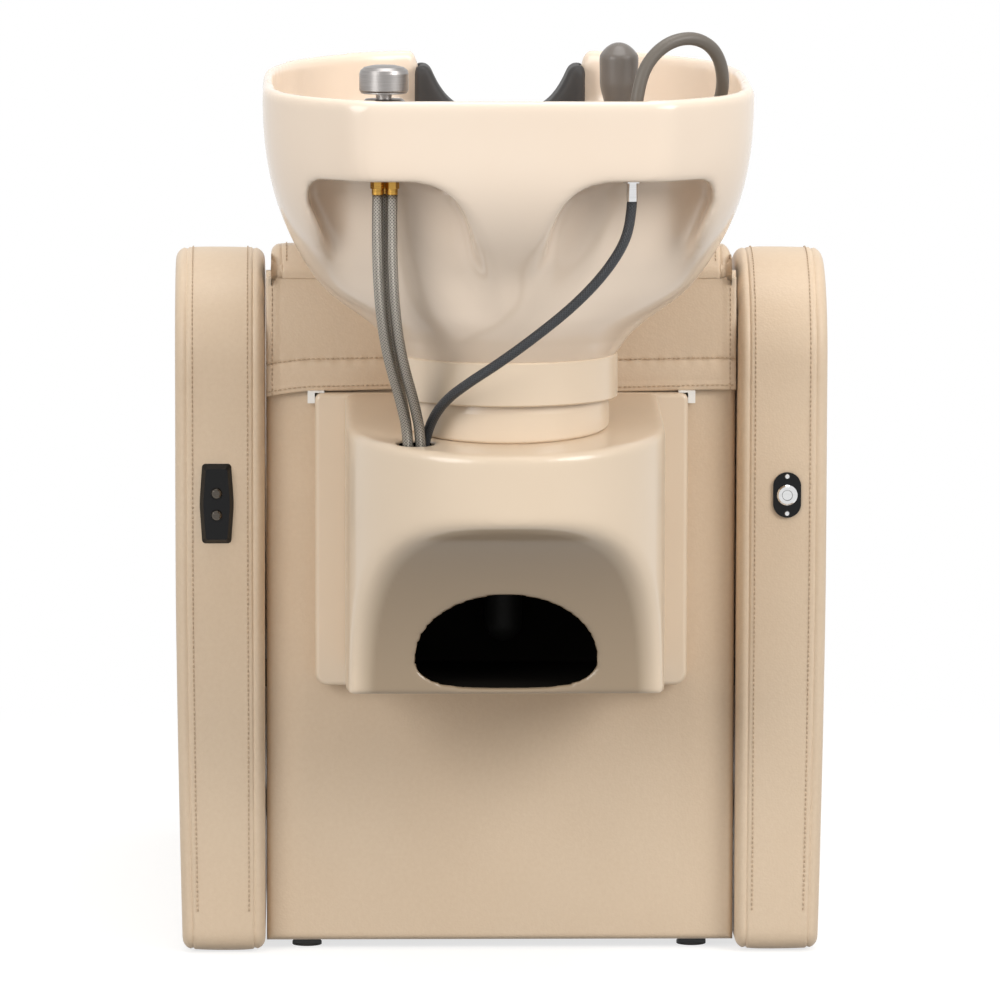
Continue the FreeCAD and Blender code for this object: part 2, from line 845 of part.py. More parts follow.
# Waste: a slotted grid in the basin, its tail, a ribbed hose and an elbow on the back plate
tail_bottom = 575.0
elbow_y = -75.0
elbow_top = 440.0
elbow_low = 372.0
elbow_out = panel_front + rail_size + waste_hose_radius + 8
outlet_end = 308.0
outlet_length = 30.0
elbow_radius = waste_hose_radius


def make_waste():
    wall = 3.0
    grid_radius = 34.0
    flange = 3.0
    floor = basin_floor
    bore = drain_radius - wall
    grid = turned(0, column_y, [(0, floor), (grid_radius, floor), (grid_radius - 2, floor + flange), (0, floor + flange)])
    slots = 12
    for k in range(slots):
        angle = 360.0 * k / slots
        slot = block(5, bore - 1, column_y - 1.2, column_y + 1.2, floor - 1, floor + flange + 1)
        slot.rotate(at(0, column_y, 0), UP, angle)
        grid = grid.cut(slot)
    save("drain_grid", grid)
    tail = tube(drain_radius, bore, at(0, column_y, tail_bottom), at(0, column_y, floor))
    nut_low = foot_bottom - yoke_thickness - 4
    nut = tube(yoke_ring_inner - 2, drain_radius, at(0, column_y, nut_low), at(0, column_y, foot_bottom))
    save("drain_tail", joined(tail, nut))
    save("waste_hose", ribbed_hose())
    inner = elbow_radius - wall
    bend = at(0, elbow_y, elbow_low)
    turn = at(0, elbow_out, elbow_low)
    end = at(0, elbow_out, outlet_end)
    stop = at(0, elbow_out, outlet_end + outlet_length)
    outer = elbow_radius - 0.6
    skin = joined(rod(elbow_radius, at(0, elbow_y, elbow_top), bend), Part.makeSphere(elbow_radius, bend),
                  rod(elbow_radius, bend, turn), Part.makeSphere(elbow_radius, turn), rod(outer, turn, stop),
                  rod(elbow_radius + 2, stop, stop + UP * 8), rod(elbow_radius, end, stop))
    bore = joined(rod(inner, at(0, elbow_y, elbow_top), bend), Part.makeSphere(inner, bend), rod(inner, bend, turn),
                  Part.makeSphere(inner, turn), rod(inner, turn, end))
    flange = block(-34, 34, plate_rear - 4, plate_rear, elbow_low - 30, elbow_low + 30)
    elbow = joined(skin, flange).cut(bore)
    save("waste_elbow", elbow)


def ribbed_hose():
    """S-bend of ribs from the drain tail down to the elbow, with its bore."""
    side = elbow_y - column_y
    fall = tail_bottom - elbow_top
    sweep = 2 * math.atan2(side, fall)
    radius = fall / (2 * math.sin(sweep))

    def spine(share):
        angle = sweep * min(share, 1 - share) * 2
        y = radius * (1 - math.cos(angle))
        z = radius * math.sin(angle)
        if share > 0.5:
            y = side - y
            z = fall - z
        return at(0, column_y + y, tail_bottom - z), V(0, math.sin(angle), -math.cos(angle))

    def skin(crest, valley):
        wires = []
        for k in range(waste_ribs):
            for part, r in ((0.05, valley), (0.3, crest), (0.7, crest), (0.95, valley)):
                share = (k + part) / waste_ribs
                if k == 0 and part < 0.1:
                    share = 0.0
                if k == waste_ribs - 1 and part > 0.9:
                    share = 1.0
                centre, heading = spine(share)
                ring = Part.makeCircle(r)
                ring.Placement = FreeCAD.Placement(centre, FreeCAD.Rotation(ACROSS, V(), heading, "XZY"))
                wires.append(Part.Wire(ring))
        return Part.makeLoft(wires, True, True)

    wall = 1.2
    outer = skin(waste_hose_radius, waste_hose_radius - waste_rib)
    inner = skin(waste_hose_radius - wall, waste_hose_radius - waste_rib - wall)
    return outer.cut(inner)


# Tap: body on the deck, nut under it, and a knob that swivels on a stem and lifts
stem_radius = 8.0
lift_height = 962.0
stem_top = 970.0


def make_tap():
    shank_low = 872.0
    base = 4.0
    shank = tap_hole_radius - running_gap
    profile = [
        (0, shank_low),
        (shank, shank_low),
        (shank, deck_top),
        (tap_body_radius + 3, deck_top),
        (tap_body_radius + 3, deck_top + base),
        (tap_body_radius, deck_top + base + 2),
        (tap_body_radius, 939.0),
        (tap_body_radius - 1.5, 940.0),
        (tap_body_radius - 1.5, 941.5),
        (tap_body_radius, 942.5),
        (tap_body_radius, 945.0),
        (tap_body_radius - 4.5, tap_body_top),
        (stem_radius + pin_gap, tap_body_top),
        (stem_radius + pin_gap, tap_body_top - 16),
        (0, tap_body_top - 16),
    ]
    save("tap_body", turned(-tap_x, tap_y, profile))
    stem = rod(stem_radius, at(-tap_x, tap_y, tap_body_top - 16), at(-tap_x, tap_y, stem_top))
    cross = rod(3.0, at(-tap_x - 14, tap_y, lift_height), at(-tap_x + 14, tap_y, lift_height))
    save("tap_stem", joined(stem, cross))
    wall = 3.0
    inside = knob_top - 9
    profile = [
        (knob_radius - wall, knob_bottom),
        (knob_radius - 0.6, knob_bottom),
        (knob_radius, knob_bottom + 1),
        (knob_radius, knob_top - 9),
        (knob_radius - 1.2, knob_top - 5.5),
        (knob_radius - 5, knob_top - 2.6),
        (knob_radius - 13, knob_top - 0.7),
        (0, knob_top),
        (0, inside),
        (knob_radius - wall, inside),
    ]
    knob = turned(-tap_x, tap_y, profile)
    socket_in = 16.0
    for side in (-1, 1):
        lug = rod(6.0, at(-tap_x + side * 9.5, tap_y, lift_height), at(-tap_x + side * (knob_radius - 1), tap_y, lift_height))
        web = block(-tap_x + min(side * 9.5, side * 13.5), -tap_x + max(side * 9.5, side * 13.5),
                    tap_y - 6, tap_y + 6, lift_height, inside + 1)
        knob = joined(knob, lug, web)
    knob = knob.cut(rod(3.0 + pin_gap, at(-tap_x - socket_in, tap_y, lift_height), at(-tap_x + socket_in, tap_y, lift_height)))
    lever = along([(-tap_x - 5, 966, 1.5), (-tap_x + 5, 966, 1.5), (-tap_x + 5, 971, 1.5), (-tap_x - 5, 971, 1.5)],
                  tap_y + knob_radius - 2, tap_y + knob_radius + 40)
    save("tap_knob", joined(knob, lever))


def hexagon(x, y, across_flats):
    size = across_flats / math.sqrt(3)
    return [(x + size * math.cos(math.radians(60 * k)), y + size * math.sin(math.radians(60 * k)), 0) for k in range(6)]


# Spray: a deck fitting with a holder ring, the hand spray, and the nuts of its hose
spigot_x = spray_x + 3.0
spigot_y = tap_y - 9.0
spigot_top = 938.0


def make_spray():
    shank = tap_hole_radius - running_gap
    profile = [(0, 872.0), (shank, 872.0), (shank, deck_top), (25, deck_top), (25, deck_top + 4), (22, deck_top + 7),
               (0, deck_top + 7)]
    fitting = turned(spray_x, tap_y, profile)
    spigot = rod(9.0, at(spigot_x, spigot_y, deck_top), at(spigot_x, spigot_y, spigot_top - 16))
    arm = block(spray_hold_x - 6, spray_hold_x + 6, tap_y + 4, spray_hold_y, deck_top + 6, deck_top + 16)
    bore = spray_handle_radius + running_gap
    ring = rod(bore + holder_wall, at(spray_hold_x, spray_hold_y, deck_top + 6), at(spray_hold_x, spray_hold_y, holder_top))
    hole = rod(bore, at(spray_hold_x, spray_hold_y, deck_top - 20), at(spray_hold_x, spray_hold_y, holder_top + 20))
    post = block(spray_hold_x - 6, spray_hold_x + 6, tap_y + 4, tap_y + 16, deck_top, deck_top + 16)
    high_nut = turned(spigot_x, spigot_y, [
        (0, spigot_top - 16), (10.5, spigot_top - 16), (10.5, spigot_top - 8), (7.5, spigot_top), (0, spigot_top)])
    save("spray_holder", joined(fitting, spigot, high_nut, arm, post, ring).cut(hole))
    under = deck_top - deck_thickness
    nuts = []
    for x in (-tap_x, spray_x):
        nut = upright(hexagon(x, tap_y, 48.0), under - 9, under)
        nuts.append(nut.cut(rod(shank, at(x, tap_y, under - 10), at(x, tap_y, under + 1))))
    save("deck_nuts", Part.Compound(nuts))
    hand = turned(spray_hold_x, spray_hold_y, [
        (0, spray_handle_bottom + 18),
        (9.5, spray_handle_bottom + 18),
        (11.0, spray_handle_bottom + 30),
        (spray_handle_radius, 860.0),
        (spray_handle_radius, holder_top + running_gap),
        (spray_handle_radius + 2.5, holder_top + running_gap),
        (spray_handle_radius + 2.5, holder_top + 4),
        (spray_handle_radius, holder_top + 7),
        (spray_handle_radius + 0.5, 968.0),
        (spray_head_radius - 1, 974.0),
        (spray_head_radius, 982.0),
        (spray_head_radius - 1.5, 994.0),
        (spray_head_radius - 6, 1001.0),
        (0, spray_head_top),
    ])
    mouth = rod(spray_head_radius - 2, at(spray_hold_x, spray_hold_y + 4, 984), at(spray_hold_x, spray_hold_y + 26, 976))
    seat = rod(spray_head_radius - 4, at(spray_hold_x, spray_hold_y + 20, 978.2), at(spray_hold_x, spray_hold_y + 30, 974.5))
    save("hand_spray", joined(hand, mouth).cut(seat))
    face = rod(spray_head_radius - 4.2, at(spray_hold_x, spray_hold_y + 20.4, 978.05), at(spray_hold_x, spray_hold_y + 27, 975.7))
    save("spray_face", face)
    low_nut = turned(spray_hold_x, spray_hold_y, [
        (0, spray_handle_bottom), (7.5, spray_handle_bottom), (10.5, spray_handle_bottom + 10),
        (10.5, spray_handle_bottom + 18), (0, spray_handle_bottom + 18)])
    save("spray_hose_nut", low_nut)


# Hoses: a round tube along straight runs that tangent arcs join
def hose_path(points):
    corners = []
    radii = []
    for before, here, after in zip(points, points[1:], points[2:]):
        back = before - here
        ahead = after - here
        turn = math.pi - back.getAngle(ahead)
        radius = 0.45 * min(back.Length, ahead.Length) / math.tan(turn / 2)
        reach = radius * math.tan(turn / 2)
        first = here + back.normalize() * reach
        last = here + ahead.normalize() * reach
        depth = radius / math.cos(turn / 2) - radius
        middle = here + (back + ahead).normalize() * depth
        corners.append((first, middle, last))
        radii.append(radius)
    edges = []
    start = points[0]
    for first, middle, last in corners:
        edges.append(Part.makeLine(start, first))
        edges.append(Part.Arc(first, middle, last).toShape())
        start = last
    edges.append(Part.makeLine(start, points[-1]))
    return Part.Wire(edges), radii


def end_cut(end, inside, width):
    """Block that trims a hose level at its end, on the side away from the hose."""
    x = end.x
    y = end.y - arm_rear
    depth = 12.0 if inside.z < end.z else -12.0
    low = min(end.z, end.z + depth)
    return block(x - width, x + width, y - width, y + width, low, low + abs(depth))


def hose(name, diameter, route):
    points = [at(*p) for p in route]
    first = points[0]
    last = points[-1]
    lap = 4.0
    points[0] = first + (first - points[1]).normalize() * lap
    points[-1] = last + (last - points[-2]).normalize() * lap
    path, radii = hose_path(points)
    section = Part.Wire(Part.makeCircle(diameter / 2, points[0], points[1] - points[0]))
    solid = path.makePipeShell([section], True, False)
    area = math.pi * diameter * diameter / 4
    smallest = min(radii) / diameter
    match = solid.Volume / (area * path.Length)
    length = path.Length - 2 * lap
    print("%s: %.0f mm long, tightest arc %.1f diameters, volume match %.4f" % (name, length, smallest, match))
    solid = solid.cut(end_cut(first, points[1], diameter)).cut(end_cut(last, points[-2], diameter))
    save(name, solid)


tail_top = 872.0
tail_low = 851.0
ferrule_low = 844.0
port_top = 520.0
coupling_height = 16.0
hose_end = port_top + coupling_height
port_spots = [(-102.5, -264.0), (-89.5, -264.0), (-102.5, -250.5), (-89.5, -249.5)]
tail_spots = [(-136.5, -353.0), (-121.5, -353.0), (-129.0, -340.0)]


def make_hoses():
    hose("hot_hose", steel_hose_diameter, [
        (-136.5, -353, tail_low), (-137.0, -351.5, 806), (-135.5, -345, 757), (-131, -331, 710), (-123, -311, 670),
        (-112, -285, 632), (-102.9, -265, 590), (-102.5, -264, hose_end)])
    hose("cold_hose", steel_hose_diameter, [
        (-121.5, -353, tail_low), (-122.0, -351.5, 806), (-120.5, -345, 757), (-116.5, -332, 710), (-109, -312, 670),
        (-98.5, -286, 632), (-89.8, -265, 590), (-89.5, -264, hose_end)])
    hose("mixed_hose", steel_hose_diameter, [
        (-129, -340, tail_low), (-129.5, -338, 806), (-128.5, -331, 757), (-125, -316, 710), (-119, -297, 670),
        (-110.5, -271.5, 632), (-102.9, -251.5, 590), (-102.5, -250.5, hose_end)])
    hose("feed_hose", feed_hose_diameter, [
        (spray_x, tap_y, ferrule_low), (122.5, -354, 822), (115, -355, 798), (95, -354, 768), (66, -350, 737),
        (29, -344, 706), (-9, -335, 677), (-43, -317, 653), (-66, -288, 632), (-80, -261, 608), (-88.5, -250, 576),
        (-89.5, -249.5, hose_end)])
    hose("spray_hose", spray_hose_diameter, spray_route)
    tails = []
    for x, y in tail_spots:
        hexed = upright(hexagon(x, y, 12.6), tail_low + 6, tail_top)
        tails.append(joined(hexed, rod(5.9, at(x, y, tail_low), at(x, y, tail_low + 6))))
    save("hose_tails", Part.Compound(tails))
    flange = rod(9.6, at(spray_x, tap_y, 863), at(spray_x, tap_y, 866))
    sleeve = rod(5.7, at(spray_x, tap_y, ferrule_low), at(spray_x, tap_y, 863))
    neck = rod(7.0, at(spray_x, tap_y, 866), at(spray_x, tap_y, tail_top))
    save("feed_ferrule", joined(sleeve, flange, neck))
    couplings = [rod(7.2, at(x, y, port_top), at(x, y, hose_end)) for x, y in port_spots]
    left = -bracket_arm_x - arm_tube_width / 2
    wide = block_width
    body = block(left - wide, left, -272, -239, port_top - 26, port_top)
    body = joined(body, block(left - wide, left, -239, -92, port_top - 50, port_top))
    nipple_radius = 8.3
    for y in supply_spots:
        nipple = rod(nipple_radius, at(supply_x, y, port_top - 49), at(supply_x, y, port_top - 68))
        body = joined(body, nipple)
    save("service_block", joined(body, *couplings))


spray_route = [
    (spigot_x, spigot_y, spigot_top), (130, -360, 964), (141, -355, 990), (163, -347, 1008), (190, -334, 1011),
    (212, -318, 996), (221, -297, 965), (216, -266, 932), (203, -234, 897), (193, -212, 853), (180, -190, 812),
    (161, -169, 775), (130, -148, 742), (86, -129, 715), (37, -121, 702), (-8, -139, 700.5), (-29, -181, 700.5),
    (-10, -220, 702), (32, -238, 710), (70, -248, 729), (98, -260, 752), (110, -273, 777),
    (spray_hold_x, spray_hold_y, spray_handle_bottom)]


# Seat and back: plywood boards with crowned cushions on them
def make_seat():
    half = seat_width / 2
    top = seat_board_low + seat_board_thickness
    board = block(-half, half, panel_front + rail_size + 60, seat_front - 18, seat_board_low, top)
    save("seat_board", board)
    corners = [
        (seat_back, top, 8.0),
        (seat_back + 10, seat_top - 8, 34.0),
        (seat_front, seat_top, 52.0),
        (seat_front - 6, top, 10.0),
    ]
    edge = 26.0
    stations = [
        (-half, [edge, edge, edge, 0]),
        (-half + edge * 0.4, [edge * 0.3, edge * 0.35, edge * 0.3, 0]),
        (-half * 0.6, [4, 3, 4, 0]),
        (0, [7, 0, 7, 0]),
    ]
    stations += [(-x, margins) for x, margins in reversed(stations[:-1])]
    save("seat_cushion", pillow(corners, stations))


back_board_thickness = 15.0
board_top_y = 72.0
board_top_z = 728.0
board_low_y = 196.0
board_low_z = seat_board_low + seat_board_thickness


def make_back():
    lean = math.atan2(board_low_y - board_top_y, board_top_z - board_low_z)
    ahead = back_board_thickness / math.cos(lean)
    outline = [
        (board_top_y, board_top_z, 0),
        (board_top_y + ahead, board_top_z, 0),
        (board_low_y + ahead, board_low_z, 0),
        (board_low_y, board_low_z, 0),
    ]
    half = back_width / 2
    save("back_board", across(outline, -half + 6, half - 6))
    front_low = (board_low_y + ahead + 62, seat_top + 3, 30.0)
    rear_low = (board_low_y + ahead - (seat_top - board_low_z + 1) * math.tan(lean) + 0.4, seat_top + 1, 8.0)
    corners = [
        (board_top_y + ahead + 0.4, board_top_z, 2.0),
        (panel_rear + 16, board_top_z + 13, 4.0),
        (panel_rear + 12, back_top, 22.0),
        (board_top_y + 62, back_top + 2, 30.0),
        front_low,
        rear_low,
    ]
    edge = 22.0
    stations = [
        (-half, [0, 3, edge * 0.5, edge, edge, 0]),
        (-half + edge * 0.45, [0, 1, edge * 0.12, edge * 0.3, edge * 0.3, 0]),
        (-half * 0.55, [0, 0, 1, 2, 2, 0]),
        (0, [0, 0, 0, 5, 3, 0]),
    ]
    stations += [(-x, margins) for x, margins in reversed(stations[:-1])]
    save("back_cushion", pillow_swapped(corners, stations))


def pillow_swapped(corners, stations):
    """As pillow, with the last margin kept for the edge that lies on the board."""
    ordered = []
    for x, margins in stations:
        ordered.append((x, margins[1:] + margins[:1]))
    return pillow(corners[1:] + corners[:1], ordered)


# Leg rest: a padded board on two side plates that turn on pivots in the arms
leg_plate_x = 244.0
leg_plate_thickness = 5.0
leg_board_rear = leg_hinge_y + 8.0
leg_pivot_radius = 6.0


def make_leg_rest():
    half = leg_plate_x - leg_plate_thickness - running_gap
    board_front = leg_board_rear + leg_board_thickness
    save("leg_board", block(-half, half, leg_board_rear, board_front, leg_rest_bottom + 6, leg_hinge_z - 15))
    pad = [
        (board_front, leg_rest_bottom, 6.0),
        (board_front, leg_hinge_z - 12, 6.0),
        (leg_pad_front, leg_hinge_z - 12, 18.0),
        (leg_pad_front, leg_rest_bottom, 18.0),
    ]
    edge = 14.0
    stations = [
        (-half - leg_plate_thickness, [0, edge, edge, edge]),
        (-half + edge * 0.2, [0, edge * 0.25, edge * 0.35, edge * 0.25]),
        (-half * 0.6, [0, 3, 2, 3]),
        (0, [0, 5, 0, 5]),
    ]
    stations += [(-x, margins) for x, margins in reversed(stations[:-1])]
    save("leg_pad", pillow(pad, stations))
    plate = across([
        (leg_hinge_y - 15, leg_hinge_z + 15, 14.0),
        (leg_hinge_y + 15, leg_hinge_z + 15, 14.0),
        (board_front, leg_hinge_z - 90, 4.0),
        (board_front, leg_rest_bottom + 120, 3.0),
        (leg_board_rear, leg_rest_bottom + 120, 3.0),
        (leg_hinge_y - 15, leg_hinge_z - 60, 20.0),
    ], leg_plate_x - leg_plate_thickness, leg_plate_x)
    hole = rod(leg_pivot_radius + pin_gap, at(leg_plate_x - 20, leg_hinge_y, leg_hinge_z), at(arm_inner, leg_hinge_y, leg_hinge_z))
    pin = rod(leg_pivot_radius, at(leg_plate_x - leg_plate_thickness - 2, leg_hinge_y, leg_hinge_z), at(arm_inner, leg_hinge_y, leg_hinge_z))
    flange = rod(14.0, at(leg_plate_x + running_gap * 2, leg_hinge_y, leg_hinge_z), at(arm_inner, leg_hinge_y, leg_hinge_z))
    save("leg_pivots", both_sides(joined(pin, flange)))
    lug_y = leg_hinge_y - leg_lug_setback
    lug_z = leg_hinge_z - leg_lug_drop
    lug = across([
        (leg_board_rear, lug_z + 26, 2.0),
        (lug_y - 17, lug_z + 17, 14.0),
        (lug_y - 17, lug_z - 17, 14.0),
        (leg_board_rear, lug_z - 26, 2.0),
    ], 14.0, 20.0)
    slack = rod(drive_pin_radius + drive_slack, at(0, lug_y, lug_z), at(40, lug_y, lug_z))
    save("leg_plates", Part.Compound([both_sides(plate.cut(hole)), both_sides(lug.cut(slack))]))
    make_drive(lug_y + drive_pin_ahead, lug_z - drive_pin_drop)


def make_drive(tip_y, tip_z):
    """Linear drive of the leg rest, drawn at rest between its two pins."""
    start = at(0, drive_pivot_y, drive_pivot_z)
    end = at(0, tip_y, tip_z)
    reach = end - start
    heading = V(reach)
    heading.normalize()
    length = reach.Length
    side = V(0, -heading.z, heading.y)
    tube_end = start + heading * (length * 0.66)
    bore = drive_rod_radius + running_gap
    barrel = rod(drive_tube_radius, start + heading * 28, tube_end)
    barrel = barrel.cut(rod(bore, start + heading * 60, tube_end))
    motor_low = start + heading * 62 - side * (drive_tube_radius + 18)
    motor = rod(24.0, motor_low, motor_low + heading * 120)
    gearbox = rod(30.0, start + heading * 30 - side * 14, start + heading * 66 - side * 14)
    tongue = rod(12.0, start - ACROSS * 6, start + ACROSS * 6)
    root = rod(5.8, start, start + heading * 34)
    eye = rod(drive_pin_radius + pin_gap, start - ACROSS * 40, start + ACROSS * 40)
    barrel = joined(barrel, gearbox, motor, tongue, root)
    barrel = barrel.cut(rod(bore, start + heading * 80, tube_end)).cut(eye)
    save("drive_barrel", barrel)
    shaft = rod(drive_rod_radius, start + heading * 130, end - heading * 8)
    tip = rod(12.0, end - ACROSS * 9, end + ACROSS * 9)
    pin = rod(drive_pin_radius, end - ACROSS * 24, end + ACROSS * 24)
    save("drive_rod", joined(shaft, tip, pin))
    cheek_low = drive_pivot_z - 24
    cheek = across([
        (drive_pivot_y - 15, cheek_low, 0),
        (drive_pivot_y + 15, cheek_low, 0),
        (drive_pivot_y + 15, drive_pivot_z + 13, 10.0),
        (drive_pivot_y - 15, drive_pivot_z + 13, 10.0),
    ], 6 + running_gap, 11)
    pin = rod(drive_pin_radius, start - ACROSS * 13, start + ACROSS * 13)
    save("drive_clevis", joined(cheek, mirrored(cheek), pin))
    top = seat_board_low
    box_top = top - running_gap
    save("power_box", upright([(60, 200, 6), (190, 200, 6), (190, 290, 6), (60, 290, 6)], box_top - 46, top))


# Controls: a two-button panel on the left arm and a push switch on the right arm
def make_controls():
    bulge = 3.0
    half = control_width / 2
    tall = control_height / 2
    low = control_z - tall
    high = control_z + tall
    depth = control_depth
    edge = rounded([
        (control_x - half + bulge, low, 4.0), (control_x + half - bulge, low, 4.0), (control_x + half, control_z, 120.0),
        (control_x + half - bulge, high, 4.0), (control_x - half + bulge, high, 4.0), (control_x - half, control_z, 120.0),
    ], lambda a, b: at(a, 0, b))
    crown = rounded([
        (control_x - half + bulge + 4, low + 5, 3.0), (control_x + half - bulge - 4, low + 5, 3.0),
        (control_x + half - 4, control_z, 110.0),
        (control_x + half - bulge - 4, high - 5, 3.0), (control_x - half + bulge + 4, high - 5, 3.0),
        (control_x - half + 4, control_z, 110.0),
    ], lambda a, b: at(a, -depth, b))
    bezel = Part.makeLoft([edge, crown], True, True)
    inner = block(control_x - case_width / 2 + 2, control_x + case_width / 2 - 2, -depth + 2.5, 1,
                  control_z - case_height / 2 + 2, control_z + case_height / 2 - 2)
    bezel = bezel.cut(inner)
    for side in (-1, 1):
        z = control_z + side * control_button_spread
        bezel = bezel.cut(rod(control_button_radius + 0.2, at(control_x, -depth - 1, z), at(control_x, 1, z)))
    save("control_bezel", bezel)
    case = control_pocket(control_x, control_z, case_width - 0.6, case_height - 0.6, case_depth - 0.3)
    case = case.cut(block(control_x - 99, control_x + 99, -2, 0, control_z - 99, control_z + 99))
    hollow = block(control_x - case_width / 2 + 2, control_x + case_width / 2 - 2, -1, case_depth - 3,
                   control_z - case_height / 2 + 2, control_z + case_height / 2 - 2)
    save("control_case", case.cut(hollow))
    for name, side in (("raise_button", 1), ("lower_button", -1)):
        z = control_z + side * control_button_spread
        r = control_button_radius
        proud = -depth - 3.2
        save(name, turned_forward(control_x, z, [
            (0, proud), (r - 2.6, proud + 0.5), (r - 0.8, proud + 1.6), (r, proud + 3.0), (r, -depth + 2.8),
            (r + 1.4, -depth + 2.8), (r + 1.4, -depth + 5.0), (3.0, -depth + 5.0), (3.0, 17.0), (0, 17.0)]))
    make_switch()


def make_switch():
    half = switch_width / 2
    straight = switch_height / 2 - half
    t = switch_plate_thickness
    plate = along([
        (switch_x - half, switch_z - half - straight, half - 0.01), (switch_x + half, switch_z - half - straight, half - 0.01),
        (switch_x + half, switch_z + half + straight, half - 0.01), (switch_x - half, switch_z + half + straight, half - 0.01),
    ], -t, 0)
    screw_z = switch_height / 2 - 4.5
    plate = plate.cut(rod(barrel_radius, at(switch_x, -t - 1, switch_z), at(switch_x, 1, switch_z)))
    for side in (-1, 1):
        plate = plate.cut(rod(1.6, at(switch_x, -t - 1, switch_z + side * screw_z), at(switch_x, 1, switch_z + side * screw_z)))
    save("switch_plate", plate)
    r = switch_ring_radius
    bore = switch_button_radius + 0.2
    ring = turned_forward(switch_x, switch_z, [
        (bore, -t - 3.0), (r - 1.6, -t - 3.0), (r, -t - 1.4), (r, -t), (barrel_radius - 0.1, -t),
        (barrel_radius - 0.1, case_depth - 2), (0, case_depth - 2), (0, case_depth - 4), (bore + 1.5, case_depth - 4),
        (bore + 1.5, -t + 1.0), (bore, -t + 1.0)])
    save("switch_ring", ring)
    b = switch_button_radius
    save("switch_button", turned_forward(switch_x, switch_z, [
        (0, -t - 2.6), (b - 0.8, -t - 2.6), (b, -t - 1.8), (b, -t + 1.3), (b + 1.2, -t + 1.3), (b + 1.2, -t + 3.3),
        (2.5, -t + 3.3), (2.5, case_depth - 8), (0, case_depth - 8)]))
    screws = []
    for side in (-1, 1):
        z = switch_z + side * screw_z
        screws.append(turned_forward(switch_x, z, [(0, -t - 1.2), (2.2, -t - 0.8), (2.8, -t), (1.5, -t), (1.5, 0), (0, 0)]))
    save("switch_screws", Part.Compound(screws))


os.makedirs("parts", exist_ok=True)
make_arms()
make_frame()
make_rear_panel()
make_flap()
make_back_plate()
make_housing()
make_column()
make_tilt()
make_bowl()
make_neck_rest()
make_waste()
make_tap()
make_spray()
make_hoses()
make_seat()
make_back()
make_leg_rest()
make_controls()
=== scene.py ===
# %% [markdown]
# # A salon backwash unit
# A padded armchair for a hair salon, seen from behind: a ceramic wash bowl on a moulded housing stands at its back.
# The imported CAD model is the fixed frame. Hard pieces such as the back plate, the tap and the steel frame keep their
# CAD shape and get a finish. What is soft, glazed, moulded or flexible is made again here, at the same place and size.

# %% Load the frame
import json
import math
import bmesh
import bpy
import numpy as np
import openvdb
from mathutils import Matrix, Vector
from mathutils.kdtree import KDTree


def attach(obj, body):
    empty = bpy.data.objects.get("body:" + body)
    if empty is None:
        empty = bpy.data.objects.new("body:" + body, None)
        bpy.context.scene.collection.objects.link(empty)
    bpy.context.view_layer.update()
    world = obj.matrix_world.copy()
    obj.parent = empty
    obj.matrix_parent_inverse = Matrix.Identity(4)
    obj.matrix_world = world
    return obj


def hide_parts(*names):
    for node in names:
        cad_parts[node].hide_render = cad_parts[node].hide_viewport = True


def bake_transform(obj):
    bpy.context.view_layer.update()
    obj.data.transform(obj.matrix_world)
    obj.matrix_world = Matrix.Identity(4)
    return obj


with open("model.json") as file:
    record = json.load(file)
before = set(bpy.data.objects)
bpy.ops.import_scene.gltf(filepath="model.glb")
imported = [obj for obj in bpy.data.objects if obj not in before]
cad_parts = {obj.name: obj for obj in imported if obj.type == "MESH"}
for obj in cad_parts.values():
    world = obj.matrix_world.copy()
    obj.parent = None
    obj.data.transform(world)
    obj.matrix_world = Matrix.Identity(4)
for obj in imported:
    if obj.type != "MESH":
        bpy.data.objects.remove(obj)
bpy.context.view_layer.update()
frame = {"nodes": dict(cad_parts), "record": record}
scene = bpy.context.scene
ARM_REAR = -225.0


def metres(points):
    """Points in mm, with y measured from the rear faces of the arms, as metres in the shared frame."""
    points = np.asarray(points, float).reshape(-1, 3)
    return (points + (0.0, ARM_REAR, 0.0)) * 0.001


def metre(x, y, z):
    """The same for one point."""
    return tuple(float(v) for v in metres([(x, y, z)])[0])


def read_mm(items, name):
    """The other way round: a place of every vertex or face of a mesh, in mm."""
    places = np.empty(3 * len(items))
    items.foreach_get(name, places)
    return places.reshape(-1, 3) * 1000.0 - (0.0, ARM_REAR, 0.0)


def new_object(name, data):
    """A new object in the scene."""
    obj = bpy.data.objects.new(name, data)
    scene.collection.objects.link(obj)
    return obj


# %% [markdown]
# ## Camera
# A long lens from straight behind, a little above the bowl's rim. The far camera keeps the two arms almost parallel,
# so a long focal length is used instead of a closer, wider one. Eye and lens were fitted to points on the object.

# %% Camera
EYE = Vector((-0.2125, -8.64, 1.509))
AIM = Vector((-0.0017, -0.225, 0.4936))
ROLL = math.radians(0.12)
camera_data = bpy.data.cameras.new("camera")
camera_data.lens = 284.5
camera_data.sensor_width = 36.0
camera_data.clip_end = 60.0
camera = new_object("camera", camera_data)
camera.location = EYE
turn = (AIM - EYE).to_track_quat("-Z", "Y").to_matrix() @ Matrix.Rotation(ROLL, 3, "Z")
camera.rotation_euler = turn.to_euler()
scene.camera = camera
scene.view_settings.view_transform = "Standard"
print("camera", tuple(round(v, 3) for v in camera.location))

# %% [markdown]
# ## Tools for finishes
# A material is a small graph of nodes. One function adds a node, sets what is the same all over and links the rest.
# Colours are written as hex values, as a paint chart gives them, and turned to the linear numbers that Blender mixes.

# %% Node helper
FIRST, SECOND, MIXED = 6, 7, 2  # sockets of a Mix node that mixes colours: two go in, one comes out
FINISH = {}


def linear(code):
    """A hex colour as linear numbers."""
    parts = [int(code[i:i + 2], 16) / 255.0 for i in (1, 3, 5)]
    return tuple(c / 12.92 if c <= 0.04045 else ((c + 0.055) / 1.055) ** 2.4 for c in parts) + (1.0,)


